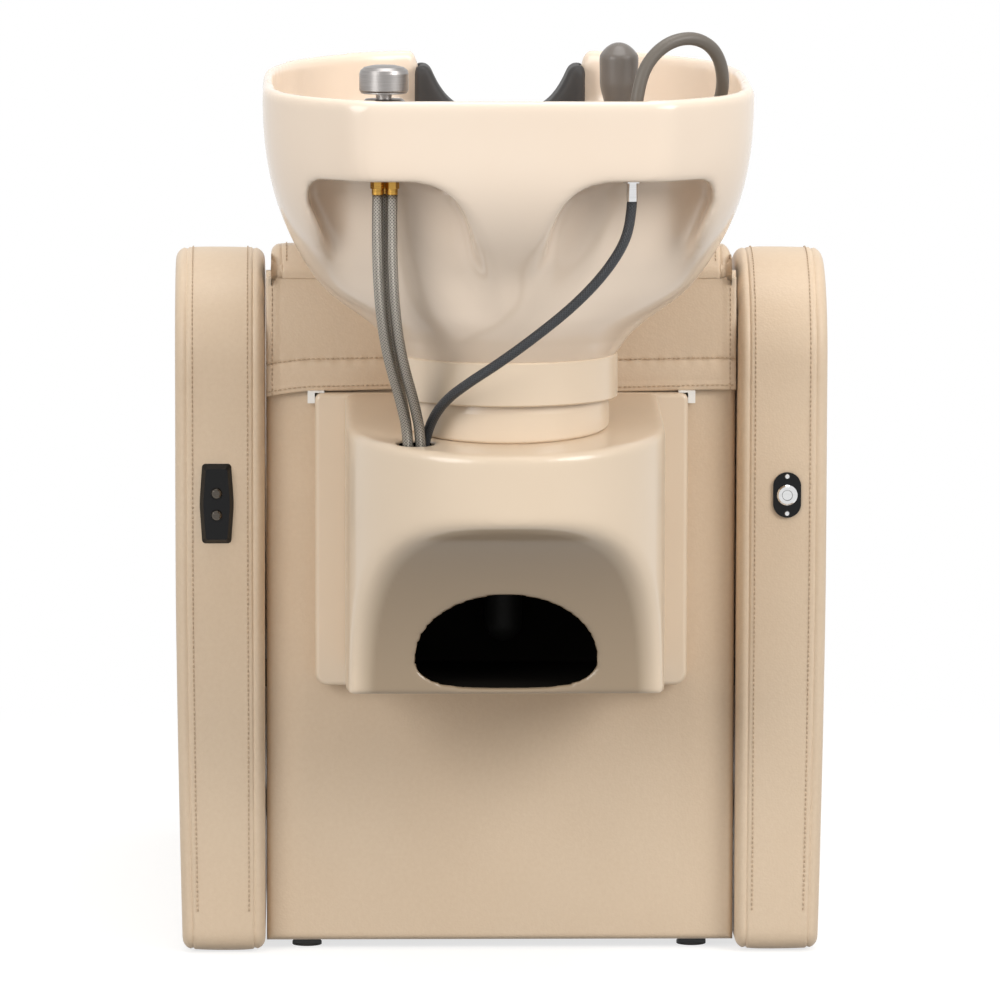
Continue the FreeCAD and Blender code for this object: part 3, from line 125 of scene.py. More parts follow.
def feed(tree, node, values):
    """Sets sockets of a node to numbers, or links them to other nodes' outputs."""
    for name, value in values.items():
        if isinstance(value, bpy.types.NodeSocket):
            tree.links.new(value, node.inputs[name])
        else:
            node.inputs[name].default_value = value


def add(tree, kind, values=(), **settings):
    """Adds a node: settings are its properties, values are what its sockets are fed with."""
    node = tree.nodes.new(kind)
    for name, value in settings.items():
        setattr(node, name, value)
    feed(tree, node, dict(values))
    return node


def finish(name, **sockets):
    """A new material with its shader; sockets of the shader are given by name, with _ for spaces."""
    material = bpy.data.materials.new(name)
    material.use_nodes = True
    tree = material.node_tree
    tree.nodes.clear()
    shader = add(tree, "ShaderNodeBsdfPrincipled", {k.replace("_", " "): v for k, v in sockets.items()})
    add(tree, "ShaderNodeOutputMaterial", {"Surface": shader.outputs["BSDF"]})
    place = add(tree, "ShaderNodeTexCoord")
    return material, tree, shader, place.outputs["Object"], place.outputs["UV"]


print("node helper ready")

# %% [markdown]
# ## Leatherette
# The cover is polyurethane leatherette: a soft film embossed with small pebbles, with a satin gleam where it is
# stretched. The pebbles are Voronoi cells. Real ones are about a millimetre wide, which one pixel can't show, so they
# are drawn at 2.4 mm. A slow noise makes the tone drift, as it does on a large hide. The thread is bonded polyester,
# a shade darker than the cover, with a fine twist that takes the shine off it.

# %% Leatherette and thread
PEBBLE_MM = 2.4
CREASE_MM = 5.0
HIDE_DRIFT_MM = 190.0
TWIST_MM = 1.2


def leatherette(name, dark, light):
    material, tree, shader, place, _ = finish(name, Roughness=0.45, Specular_IOR_Level=0.42, Sheen_Weight=0.06,
                                              Sheen_Roughness=0.45)
    pebbles = add(tree, "ShaderNodeTexVoronoi", {"Vector": place, "Scale": 1000.0 / PEBBLE_MM, "Randomness": 0.9},
                  feature="SMOOTH_F1")
    pebbles.inputs["Smoothness"].default_value = 0.35
    fine = add(tree, "ShaderNodeTexNoise", {"Vector": place, "Scale": 1000.0 / CREASE_MM, "Detail": 4.0,
                                            "Roughness": 0.6})
    drift = add(tree, "ShaderNodeTexNoise", {"Vector": place, "Scale": 1000.0 / HIDE_DRIFT_MM, "Detail": 3.0})
    both = add(tree, "ShaderNodeMath", {0: drift.outputs["Fac"], 1: fine.outputs["Fac"]}, operation="ADD")
    tone = add(tree, "ShaderNodeMapRange", {"Value": both.outputs[0], "From Min": 0.45, "From Max": 1.55})
    colour = add(tree, "ShaderNodeMix", {"Factor": tone.outputs["Result"], FIRST: linear(dark), SECOND: linear(light)},
                 data_type="RGBA")
    satin = add(tree, "ShaderNodeMapRange", {"Value": fine.outputs["Fac"], "To Min": 0.38, "To Max": 0.54})
    height = add(tree, "ShaderNodeMath", {0: pebbles.outputs["Distance"], 1: fine.outputs["Fac"]},
                 operation="MULTIPLY")
    relief = add(tree, "ShaderNodeBump", {"Height": height.outputs[0], "Distance": 0.00055, "Strength": 0.5})
    feed(tree, shader, {"Base Color": colour.outputs[MIXED], "Roughness": satin.outputs["Result"],
                        "Normal": relief.outputs["Normal"]})
    return material


FINISH["leatherette"] = leatherette("PU_leatherette_embossed", "#D2BA9E", "#DCC7AD")
thread, tree, shader, place, _ = finish("polyester_thread_bonded", Roughness=0.5)
twist = add(tree, "ShaderNodeTexWave", {"Vector": place, "Scale": 1000.0 / TWIST_MM, "Distortion": 1.0})
colour = add(tree, "ShaderNodeMix", {"Factor": twist.outputs["Fac"], FIRST: linear("#B39A7E"),
                                     SECOND: linear("#CBB396")}, data_type="RGBA")
feed(tree, shader, {"Base Color": colour.outputs[MIXED]})
print("leatherette pebbles", PEBBLE_MM, "mm")

# %% [markdown]
# ## Moulded plastics and the glaze
# The housing is thick vacuum-formed ABS with a gloss that is a little wavy: the light along its edges wobbles. The
# bowl is vitreous china under a clear glaze: sharp reflections over a warm body, with a faint pooling of the glaze.
# One function makes both, and the small plastics too, because all are a body colour with a grit and a coat.
# The scoop under the housing gets painted shade: a darker tone, through an attribute that is painted on its mesh
# further down.

# %% ABS and ceramic
BODY_DRIFT_MM = 120.0


def moulded(name, dark, light, roughness, grit_mm, depth_mm, coat=0.0, gloss=0.5, painted_shade=None):
    material, tree, shader, place, _ = finish(name, Roughness=roughness, Coat_Weight=coat, Coat_Roughness=0.12,
                                              IOR=1.5, Specular_IOR_Level=gloss)
    drift = add(tree, "ShaderNodeTexNoise", {"Vector": place, "Scale": 1000.0 / BODY_DRIFT_MM, "Detail": 3.0})
    grit = add(tree, "ShaderNodeTexNoise", {"Vector": place, "Scale": 1000.0 / grit_mm, "Detail": 2.0})
    colour = add(tree, "ShaderNodeMix", {"Factor": drift.outputs["Fac"], FIRST: linear(dark), SECOND: linear(light)},
                 data_type="RGBA")
    # A second colour where the mesh's attribute says so: painted shade.
    if painted_shade:
        mark = add(tree, "ShaderNodeAttribute", attribute_name="scoop_painted_shade")
        colour = add(tree, "ShaderNodeMix", {"Factor": mark.outputs["Fac"], FIRST: colour.outputs[MIXED],
                                             SECOND: linear(painted_shade)}, data_type="RGBA")
    shine = add(tree, "ShaderNodeMapRange", {"Value": grit.outputs["Fac"], "To Min": roughness * 0.92,
                                             "To Max": roughness * 1.1})
    relief = add(tree, "ShaderNodeBump", {"Height": grit.outputs["Fac"], "Distance": depth_mm * 0.001,
                                          "Strength": 0.35})
    feed(tree, shader, {"Base Color": colour.outputs[MIXED], "Roughness": shine.outputs["Result"],
                        "Normal": relief.outputs["Normal"]})
    return material


# Formed sheet: a broad soft gloss that wobbles over 70 mm, and a darker tone in the scoop as painted shade.
FINISH["cream_abs"] = moulded("ABS_vacuum_formed_gloss", "#DDC8AE", "#E3CFB6", 0.3, 70.0, 0.12, coat=0.35,
                              painted_shade="#9A866D")
# Glaze: the sharpest highlights of the object, over a body that is warmer where the glaze is thick.
FINISH["glazed_ceramic"] = moulded("vitreous_china_glazed", "#E8D4BF", "#EBDAC7", 0.18, 80.0, 0.1, coat=0.2, gloss=0.4)
# Hand spray and its hose: satin, with the dull skin of a plastic that is touched every day.
FINISH["taupe_plastic"] = moulded("ABS_spray_satin", "#635C56", "#6F6861", 0.38, 3.0, 0.05, coat=0.1, gloss=0.4)
FINISH["taupe_hose"] = moulded("PVC_hose_satin", "#605951", "#6C655C", 0.42, 4.0, 0.05, gloss=0.4)
# Controls: a black that stays black, with small lights on its bevels.
FINISH["black_plastic"] = moulded("ABS_black_gloss", "#0B0B0C", "#131314", 0.3, 2.0, 0.03, gloss=0.22)
# Clips and ferrule: milky white nylon with a soft shine.
FINISH["white_plastic"] = moulded("nylon_white", "#EDEBE6", "#F6F5F1", 0.4, 3.0, 0.04)
# Waste pipes: matt and almost black, partly their own colour and partly painted shade, so they sink into the dark of
# the housing.
FINISH["grey_plastic"] = moulded("PP_black_pipe_painted_shade", "#131211", "#1B1A18", 0.6, 3.0, 0.05, gloss=0.15)
# Neck rest: soft rubber, matt with a fine moulded grain.
FINISH["dark_rubber"] = moulded("gel_rubber_moulded", "#2F2D2C", "#393736", 0.55, 2.5, 0.12, gloss=0.3)
# Frame: powder coat, black with a slight orange peel.
FINISH["frame_steel"] = moulded("steel_powder_coated_black", "#1D1E1F", "#292A2B", 0.5, 2.0, 0.1)
# Inside of the housing: rough and near black, painted shade where the light doesn't reach.
inside_painted_shade = moulded("ABS_inside_painted_shade", "#0D0A07", "#15110C", 0.8, 3.0, 0.1, gloss=0.1)
print("plastics and glaze", [m.name for m in FINISH.values()])

# %% [markdown]
# ## Metals and wood
# The tap is brushed steel: fine scratches run round it, so the noise is squeezed along one axis. Chrome and brass are
# smooth. The hose braid is woven from wire, so its pattern follows the hose along its own UV map. The boards are
# birch plywood, with a grain that runs along them.

# %% Metals, braid and wood
SCRATCHES = (40.0, 40.0, 900.0)  # per metre: 25 mm long and 1.1 mm wide, coarser than real ones so that they show
GRAIN = (90.0, 6.0, 90.0)  # per metre: 11 mm wide and 170 mm long
STRANDS = 4.4  # on a hose as thick as these, one strand in 2.5 mm


def metal(name, dark, light, roughness):
    material, tree, shader, place, _ = finish(name, Metallic=1.0, Roughness=roughness)
    stretch = add(tree, "ShaderNodeMapping", {"Vector": place, "Scale": SCRATCHES})
    lines = add(tree, "ShaderNodeTexNoise", {"Vector": stretch.outputs["Vector"], "Scale": 1.0, "Detail": 3.0})
    colour = add(tree, "ShaderNodeMix", {"Factor": lines.outputs["Fac"], FIRST: linear(dark), SECOND: linear(light)},
                 data_type="RGBA")
    shine = add(tree, "ShaderNodeMapRange", {"Value": lines.outputs["Fac"], "To Min": roughness * 0.75,
                                             "To Max": roughness * 1.3})
    feed(tree, shader, {"Base Color": colour.outputs[MIXED], "Roughness": shine.outputs["Result"]})
    return material


def braid(name, dark, light, metallic, roughness):
    """Two sets of strands at 45 degrees to the hose; real ones of 1 mm are drawn at 2.5 mm so that they show."""
    material, tree, shader, _, strip = finish(name, Metallic=metallic, Roughness=roughness)
    heights = []
    for angle in (45.0, -45.0):
        lay = add(tree, "ShaderNodeMapping", {"Vector": strip, "Rotation": (0.0, 0.0, math.radians(angle))})
        wave = add(tree, "ShaderNodeTexWave", {"Vector": lay.outputs["Vector"], "Scale": STRANDS})
        heights.append(wave.outputs["Fac"])
    woven = add(tree, "ShaderNodeMath", {0: heights[0], 1: heights[1]}, operation="MAXIMUM")
    colour = add(tree, "ShaderNodeMix", {"Factor": woven.outputs[0], FIRST: linear(dark), SECOND: linear(light)},
                 data_type="RGBA")
    relief = add(tree, "ShaderNodeBump", {"Height": woven.outputs[0], "Distance": 0.0006, "Strength": 0.9})
    feed(tree, shader, {"Base Color": colour.outputs[MIXED], "Normal": relief.outputs["Normal"]})
    return material


# Tap: a grey sheen drawn out across the scratches.
FINISH["brushed_steel"] = metal("stainless_steel_brushed", "#8A8684", "#A8A4A1", 0.34)
# Rings and screws: mirrors of the room.
FINISH["chrome"] = metal("chrome_plated_brass", "#D6D6D6", "#E4E4E4", 0.08)
# Hose nuts: warm yellow with the dullness of turned metal.
FINISH["brass"] = metal("brass_turned", "#A8813F", "#C79B4E", 0.28)
# Brackets: the cloudy grey of zinc.
FINISH["bracket_steel"] = metal("steel_zinc_plated", "#8D8F90", "#A3A5A6", 0.42)
# The two control buttons: chrome that is smoked dark.
smoked = metal("chrome_smoked", "#4E4943", "#5F5952", 0.12)
# Hoses: bright wires over dark gaps, and a black nylon weave.
FINISH["steel_braid"] = braid("stainless_wire_braid", "#26241F", "#A39D94", 1.0, 0.3)
FINISH["black_braid"] = braid("nylon_black_braid", "#0E0F10", "#34363A", 0.0, 0.42)
# Boards: pale wood with darker bands.
FINISH["plywood"], tree, shader, place, _ = finish("birch_plywood", Roughness=0.62)
grain = add(tree, "ShaderNodeMapping", {"Vector": place, "Scale": GRAIN})
rings = add(tree, "ShaderNodeTexNoise", {"Vector": grain.outputs["Vector"], "Scale": 1.0, "Detail": 5.0})
colour = add(tree, "ShaderNodeMix", {"Factor": rings.outputs["Fac"], FIRST: linear("#B58C5C"),
                                     SECOND: linear("#D6B582")}, data_type="RGBA")
feed(tree, shader, {"Base Color": colour.outputs[MIXED]})
print(len(FINISH), "finishes")

# %% [markdown]
# Every CAD node gets the finish of its slot in the record. The buttons get a darker one, which is closer to what shows
# of them, and the waste elbow gets the near-black pipe finish, which is partly painted shade.

# %% Finishes on the CAD nodes
slot_of = {part["node"]: part["material_slot"] for part in frame["record"]["subparts"]}
for name, node in frame["nodes"].items():
    for slot in node.material_slots:
        slot.material = FINISH[slot_of[name]]
# The waste elbow's near-black finish is partly painted shade.
for name, material in (("raise_button", smoked), ("lower_button", smoked), ("waste_elbow", FINISH["grey_plastic"])):
    frame["nodes"][name].material_slots[0].material = material
print("finishes on", len(frame["nodes"]), "CAD nodes")

# %% [markdown]
# ## Making a piece
# Most pieces below are grids of points that a rule gives. One helper turns such a grid into a mesh object, rides it on
# its body and hides the CAD node it stands for.


# %% Piece helper
def piece(name, points, faces, slot, body, *nodes, smooth=True):
    mesh = bpy.data.meshes.new(name)
    mesh.from_pydata([tuple(p) for p in metres(points)], [], [tuple(int(i) for i in f) for f in faces])
    mesh.update()
    obj = new_object(name, mesh)
    mesh.materials.append(FINISH[slot])
    mesh.polygons.foreach_set("use_smooth", [smooth] * len(mesh.polygons))
    if body:
        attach(obj, body)
    if nodes:
        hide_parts(*nodes)
    return obj


def grid_faces(rows, columns, wrap=True):
    """Quads of a grid of rows x columns points; wrap joins the last column to the first."""
    faces = []
    for i in range(rows - 1):
        a = i * columns
        for j in range(columns if wrap else columns - 1):
            k = (j + 1) % columns
            faces.append((a + j, a + k, a + columns + k, a + columns + j))
    return faces


def closed_faces(rows, columns):
    """The same with a fan at each end, round the two points that follow the grid."""
    last, ends = (rows - 1) * columns, rows * columns
    faces = grid_faces(rows, columns)
    faces += [(ends, (j + 1) % columns, j) for j in range(columns)]
    faces += [(ends + 1, last + j, last + (j + 1) % columns) for j in range(columns)]
    return faces


def facing_out(obj):
    """Turns the faces of a closed piece outwards."""
    work = bmesh.new()
    work.from_mesh(obj.data)
    bmesh.ops.recalc_face_normals(work, faces=work.faces)
    work.to_mesh(obj.data)
    work.free()


def evaluated_mesh(obj):
    """The mesh that an object's curve or modifiers give."""
    bpy.context.view_layer.update()
    return bpy.data.meshes.new_from_object(obj.evaluated_get(bpy.context.evaluated_depsgraph_get()))


print("piece helper ready")

# %% [markdown]
# ## Hoses
# Two braided steel supplies and a third behind them, a black one that feeds the spray, the spray's own hose, and the
# ribbed waste hose in the housing. Each follows one smooth NURBS curve through its route. The curve is read as points,
# and a round tube is drawn along them, so that the braid has a UV map to follow.


# %% Hose tubes
def add_spline(curve, kind, places):
    spline = curve.splines.new(kind)
    spline.points.add(len(places) - 1)
    for point, place in zip(spline.points, places):
        point.co = (*place, 1.0)
    return spline


def spline_points(name, route, resolution=14):
    """Points along the route's NURBS curve, in mm."""
    curve = bpy.data.curves.new(name, "CURVE")
    curve.dimensions = "3D"
    spline = add_spline(curve, "NURBS", route)
    spline.order_u = 3
    spline.use_endpoint_u = True
    spline.resolution_u = resolution
    holder = new_object(name, curve)
    mesh = evaluated_mesh(holder)
    points = np.array([v.co[:] for v in mesh.vertices])
    bpy.data.objects.remove(holder)
    bpy.data.curves.remove(curve)
    bpy.data.meshes.remove(mesh)
    return points


def run_along(points):
    """How far each point is from the first one, along the line."""
    return np.concatenate([[0.0], np.cumsum(np.linalg.norm(np.diff(points, axis=0), axis=1))])


def length_of(points):
    """Length of a line in metres."""
    return float(np.linalg.norm(np.diff(np.asarray(points), axis=0), axis=1).sum()) * 0.001


def tube(name, points, radius, slot, body, *nodes, sides=16, radii=None):
    """Round tube along points, with u round it and v along it, both in units of its girth."""
    points = np.asarray(points, float)
    rows = len(points)
    ahead = np.gradient(points, axis=0)
    ahead /= np.linalg.norm(ahead, axis=1)[:, None]
    side = np.cross(ahead[0], (0.31, 0.94, 0.12))
    angles = np.linspace(0.0, 2 * np.pi, sides, endpoint=False)
    rings = []
    for here, heading, r in zip(points, ahead, np.full(rows, radius) if radii is None else radii):
        side = side - heading * side.dot(heading)
        side /= np.linalg.norm(side)
        other = np.cross(heading, side)
        rings.append(here + r * (np.outer(np.cos(angles), side) + np.outer(np.sin(angles), other)))
    verts = np.concatenate(rings + [points[:1], points[-1:]])
    obj = piece(name, verts, closed_faces(rows, sides), slot, body, *nodes)
    run = run_along(points) / (2 * math.pi * radius)
    strip = obj.data.uv_layers.new(name="strip")
    for loop in obj.data.loops:
        row, column = divmod(min(loop.vertex_index, rows * sides - 1), sides)
        strip.data[loop.index].uv = (column / sides, run[row])
    for polygon in obj.data.polygons:
        uvs = [strip.data[i].uv for i in polygon.loop_indices]
        if max(uv[0] for uv in uvs) - min(uv[0] for uv in uvs) > 0.5:
            for uv in uvs:
                if uv[0] < 0.25:
                    uv[0] += 1.0
    facing_out(obj)
    return obj


print("tubes ready")

# %% Supply hoses
supply_routes = {
    "hot_hose": [(-136.5, -353, 851), (-137, -351.5, 806), (-135.5, -345, 757), (-131, -331, 710), (-123, -311, 670),
                 (-112, -285, 632), (-102.9, -265, 590), (-102.5, -264, 536)],
    "cold_hose": [(-121.5, -353, 851), (-122, -351.5, 806), (-120.5, -345, 757), (-116.5, -332, 710),
                  (-109, -312, 670), (-98.5, -286, 632), (-89.8, -265, 590), (-89.5, -264, 536)],
    "mixed_hose": [(-129, -340, 851), (-129.5, -338, 806), (-128.5, -331, 757), (-125, -316, 710), (-119, -297, 670),
                   (-110.5, -271.5, 632), (-102.9, -251.5, 590), (-102.5, -250.5, 536)],
    "feed_hose": [(124, -353, 844), (122.5, -354, 822), (115, -355, 798), (95, -354, 768), (66, -350, 737),
                  (29, -344, 706), (-9, -335, 677), (-43, -317, 653), (-66, -288, 632), (-80, -261, 608),
                  (-88.5, -250, 576), (-89.5, -249.5, 536)],
}
for name, route in supply_routes.items():
    black = name == "feed_hose"
    line = spline_points(name, route)
    hose = tube(name + "_braid", line, 5.25 if black else 5.5, "black_braid" if black else "steel_braid", None, name)
    metre(0, -300, 830)
    metre(0, -300, 575)
    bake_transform(hose)
    metre(*route[0])
    [tuple(p) for p in metres(line)]
    print(name, round(length_of(line), 3), "m")

# %% [markdown]
# The spray's hose leaves a fitting on the deck, rises in a loop, drops to the basin's floor, runs round the drain and
# up to the spray. It is made in two lengths that meet on the floor: the first stays with the bowl, and the second
# bends between bowl and spray as the spray is lifted.

# %% Spray hose
BASIN_FLOOR = 720.0
spray_route = [
    (127, -362, 938), (130, -360, 964), (141, -355, 990), (163, -347, 1008), (190, -334, 1011), (212, -318, 996),
    (221, -297, 965), (216, -266, 932), (203, -234, 897), (193, -212, 853), (180, -190, 812), (161, -169, 775),
    (130, -148, 742), (86, -129, 715), (37, -121, 702), (-8, -139, 700.5), (-29, -181, 700.5), (-10, -220, 702),
    (32, -238, 710), (70, -248, 729), (98, -260, 752), (110, -273, 777), (113, -280, 800)]
line = spline_points("spray_route", spray_route)
part = int(np.argmin(line[:, 0] + 1000.0 * (line[:, 2] > BASIN_FLOOR)))
outlet_line, lift_line = line[:part + 1], line[part:]
outlet_hose = tube("spray_hose_outlet", outlet_line, 6.75, "taupe_hose", "bowl", "spray_hose")
metre(*outlet_line[0])
[tuple(p) for p in metres(outlet_line)]
lift_hose = tube("spray_hose_lift", lift_line, 6.75, "taupe_hose", None)
metre(-10, -240, 700)
metre(108, -240, 700)
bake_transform(lift_hose)
metre(*lift_line[-1])
[tuple(p) for p in metres(lift_line)]
print("spray hose", round(length_of(line), 3), "m, lifting part", round(length_of(lift_line), 3), "m")

# %% [markdown]
# The waste hose is a corrugated pipe in an S-bend between the drain tail and the elbow. Its ribs come from a radius
# that goes up and down along the tube.

# %% Waste hose
WASTE_RIBS = 22
WASTE_RADIUS, RIB_HEIGHT = 18.6, 1.3
waste_route = [(0, -162, 575), (0, -161, 545), (0, -148, 521), (0, -118, 507), (0, -89, 493), (0, -76, 470),
               (0, -75, 440)]
line = spline_points("waste_route", waste_route, 40)
run = np.linspace(0.0, 1.0, len(line))
ribs = WASTE_RADIUS + RIB_HEIGHT * np.clip(1.6 * np.cos(2 * np.pi * (run * WASTE_RIBS + 0.5)), -1.0, 1.0)
# Its near-black finish is partly painted shade inside the housing.
waste = tube("waste_hose_ribs", line, 20.0, "grey_plastic", None, "waste_hose", sides=28, radii=ribs)
metre(0, -162, 570)
metre(0, -162, 445)
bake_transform(waste)
print("waste hose", round(length_of(line), 3), "m")

# %% [markdown]
# ## Castings and mouldings
# The bowl, the housing, the neck rest and the hand spray have no sharp edge: glaze, moulded sheet and rubber round
# every corner. They are described as distances. Each form gives how far a point is from its surface, and forms are
# joined with soft minima and maxima, whose blend width is the size of the rounding. A mesh is drawn where the distance
# is zero.


# %% Distance tools
def soft_min(a, b, k):
    blend = np.clip(0.5 + 0.5 * (b - a) / k, 0.0, 1.0)
    return b + (a - b) * blend - k * blend * (1.0 - blend)


def soft_max(a, b, k):
    return -soft_min(-a, -b, k)


def ease(t):
    """From 0 to 1 with a soft start and end."""
    return t * t * (3.0 - 2.0 * t)


def axes(low, high, cell):
    """Three axes in mm that broadcast to a grid of points."""
    return np.meshgrid(*(np.arange(a, b + cell, cell) for a, b in zip(low, high)), indexing="ij", sparse=True)


def to_distance(form, cell):
    """Divides a form by its slope, so that it counts in mm near its surface."""
    slope = np.sqrt(sum(g * g for g in np.gradient(form, cell)))
    return form / np.maximum(slope, 0.3)


def cast(name, field, low, cell, slot, body, node, rounds=3):
    """Mesh where the field is zero, relaxed a little so that the grid's steps don't show."""
    volume = openvdb.FloatGrid(4.0)
    volume.copyFromArray(np.clip(field / cell, -4.0, 4.0).astype(np.float32))
    points, quads = volume.convertToQuads(0.0)
    obj = piece(name, np.array(points) * cell + low, quads, slot, body, node)
    facing_out(obj)
    relax = obj.modifiers.new("relax", "SMOOTH")
    relax.factor = 0.5
    relax.iterations = rounds
    print(name, len(obj.data.polygons), "quads")
    return obj


print("distance tools ready")

# %% [markdown]
# ## The bowl
# One casting of vitreous china: a skirt that grows from a round foot to a wide rim with three flats behind, a basin
# inside it, a deck for the taps across the rear, hand pockets under that deck and a notch for the neck. Outlines are
# given at a few heights and joined by smooth curves, as a potter's templates are.


# %% Smooth curves
def smooth_curve(levels, heights):
    """Natural cubic spline of each column of levels over the first one."""
    table = np.array(levels, float)
    z = table[:, 0]
    count = len(z)
    step = np.diff(z)
    system = np.eye(count)
    right = np.zeros((count, table.shape[1] - 1))
    slopes = np.diff(table[:, 1:], axis=0) / step[:, None]
    for i in range(1, count - 1):
        system[i, i - 1:i + 2] = step[i - 1], 2 * (step[i - 1] + step[i]), step[i]
        right[i] = 6 * (slopes[i] - slopes[i - 1])
    bend = np.linalg.solve(system, right)
    heights = np.clip(heights, z[0], z[-1])
    i = np.clip(np.searchsorted(z, heights) - 1, 0, count - 2)
    h = step[i][:, None]
    a = ((z[i + 1] - heights) / step[i])[:, None]
    b = 1.0 - a
    curve = a * table[i, 1:] + b * table[i + 1, 1:]
    return curve + ((a ** 3 - a) * bend[i] + (b ** 3 - b) * bend[i + 1]) * h * h / 6


print("smooth curve half way:", smooth_curve([(0, 0), (1, 1), (2, 0)], np.array([0.5]))[0, 0])

# %% Bowl outlines
BOWL_CELL = 3.4
BOWL_LOW = (-266.0, -412.0, 644.0)
WALL_MM = 13.0
DRAIN_Y = -162.0
X, Y, Z = axes(BOWL_LOW, (266.0, 164.0, 984.0), BOWL_CELL)
side = np.abs(X)


def oval(levels, flats=0.0):
    """A form with a squarish outline at each height: half width, rear, front, middle and two powers. Where flats is 1
    its rear is three flats instead."""
    wide, rear, front, middle, rear_power, front_power = (smooth_curve(levels, Z.ravel())[:, k] for k in range(6))
    behind = Y < middle
    depth = np.where(behind, middle - rear, front - middle)
    power = np.where(behind, rear_power, front_power)
    size = ((side / wide) ** power + (np.abs(Y - middle) / depth) ** power) ** (1.0 / power)
    form = to_distance((size - 1.0) * 150.0, BOWL_CELL)
    corner = 0.643 * (side - 0.62 * wide) + 0.766 * (rear - Y)
    flat = soft_max(soft_max(rear - Y, corner, 14.0), side - wide, 56.0)
    return np.where(behind, form + flats * (flat - form), form)


skirt_levels = [
    (670, 116, -278, -46, -162, 2, 2), (698, 139.2, -298.7, -26.4, -159, 2.1, 2.05),
    (730, 182, -317, -6.8, -154, 2.3, 2.1), (762, 209, -334.1, 11.8, -149, 2.7, 2.15),
    (800, 227.8, -368.3, 44.7, -142, 3.4, 2.2), (850, 244.1, -396.3, 103.9, -132, 4.2, 2.3),
    (900, 252.6, -400, 140.2, -124, 4.5, 2.4), (985, 254, -400, 150, -120, 4.5, 2.4)]
basin_levels = [
    (690, 65.1, -228, -96, -162, 2, 2), (704.2, 112.1, -270, -62, -162, 2, 2),
    (730.3, 163.9, -292, -24, -158, 2.2, 2.1), (761.9, 192.8, -303, -4, -152, 2.4, 2.15),
    (800.1, 212.1, -309, 28, -146, 2.7, 2.2), (850.2, 228.2, -313, 88, -138, 3.0, 2.3),
    (910.2, 238.6, -316, 126, -128, 3.2, 2.4), (990, 240, -317, 128, -126, 3.2, 2.4)]
rise = np.clip((Z - 745.0) / 105.0, 0.0, 1.0)
skirt = soft_max(oval(skirt_levels, ease(rise)), 668.0 - Z, 4.0)
foot = np.maximum(np.hypot(X, Y - DRAIN_Y) - 112.0, 652.0 - Z) + 0 * skirt
basin = soft_max(oval(basin_levels), 690.0 - Z, 10.0)
top_outline = oval([(600,) + skirt_levels[-1][1:], (1000,) + skirt_levels[-1][1:]], 1.0)
upper = soft_max(top_outline + WALL_MM, 908.0 - Z, 10.0)
print("bowl grid", skirt.shape)

# %% [markdown]
# The pockets open to the rear and leave a pillar between them. They stop short of the basin by the wall's thickness,
# and their lower ends fade out into the skirt, so the wall grows and the blend widens there.

# %% Bowl pockets
DECK_UNDERSIDE = 866.0
POCKET_END = 708.0
pillar = 44.0 - 0.2 * (826.0 - Z)
outside = 207.0 - 0.42 * np.clip(842.0 - Z, 0.0, 200.0)
opening = soft_max(pillar - side, Z - DECK_UNDERSIDE, 56.0)
opening = soft_max(opening, side - outside, 16.0)
opening = soft_max(opening, POCKET_END - Z, 14.0)
opening = np.maximum(opening, Y - DRAIN_Y)
behind = np.maximum(np.maximum(np.maximum(56.0 - side, side - 198.0), np.maximum(skirt + WALL_MM, Y + 316.0)),
                    np.maximum(846.0 - Z, Z - 892.0))
fade = np.clip((770.0 - Z) / 58.0, 0.0, 1.0)
pocket = soft_max(soft_min(opening, behind, 6.0), WALL_MM + 13.0 * ease(fade) - basin, 22.0 + 10.0 * fade)
body = soft_min(skirt, foot, 3.0)
body = soft_max(body, -pocket, 7.0 + 17.0 * np.clip((850.0 - Z) / 60.0, 0.0, 1.0))
body = soft_max(body, -soft_min(basin, upper, 12.0), 8.0)
print("pockets end at", POCKET_END, "mm")

# %% [markdown]
# The rim rises a little to the front. The notch in it is an arc below and flares above. Tap and spray stand in two
# holes of the deck, and the drain is a hole in the floor.

# %% Bowl rim, notch, holes and mesh
NOTCH_LOW, NOTCH_TURN, NOTCH_HALF = 893.0, 940.0, 84.0
NOTCH_FLARE = 0.28
body = soft_max(body, Z - (951.0 + 19.0 * (Y + 400.0) / 550.0), 10.0)
arc_height = NOTCH_TURN - NOTCH_LOW
arc_radius = (NOTCH_HALF ** 2 + arc_height ** 2) / (2 * arc_height)
valley = np.hypot(X, Z - NOTCH_LOW - arc_radius) - arc_radius
flare = (side - NOTCH_HALF - NOTCH_FLARE * (Z - NOTCH_TURN)) * 0.963
notch = np.where(Z < NOTCH_TURN, np.maximum(valley, side - NOTCH_HALF), flare) + 0 * Y
body = soft_max(body, -np.maximum(notch, 20.0 - Y), 8.0)
for x in (-130.0, 124.0):
    hole = np.maximum(np.hypot(X - x, Y + 353.0) - 17.5, DECK_UNDERSIDE - Z)
    body = np.maximum(body, -hole)
drain = np.hypot(X, Y - DRAIN_Y) - 20.3
body = np.maximum(body, -np.maximum(drain, Z - BASIN_FLOOR))
cast("bowl_casting", body, BOWL_LOW, BOWL_CELL, "glazed_ceramic", "bowl", "bowl", rounds=5)

# %% [markdown]
# ## The housing
# A shell of vacuum-formed ABS that covers the pipes: D-shaped from above, with a top that falls to the rear. Its
# underside is scooped out, so that feet and a mop get under it, and a dome-shaped window in the scoop gives a hand the
# way to the pipes. The rolled edge round the scoop is the wide blend between wall and scoop.

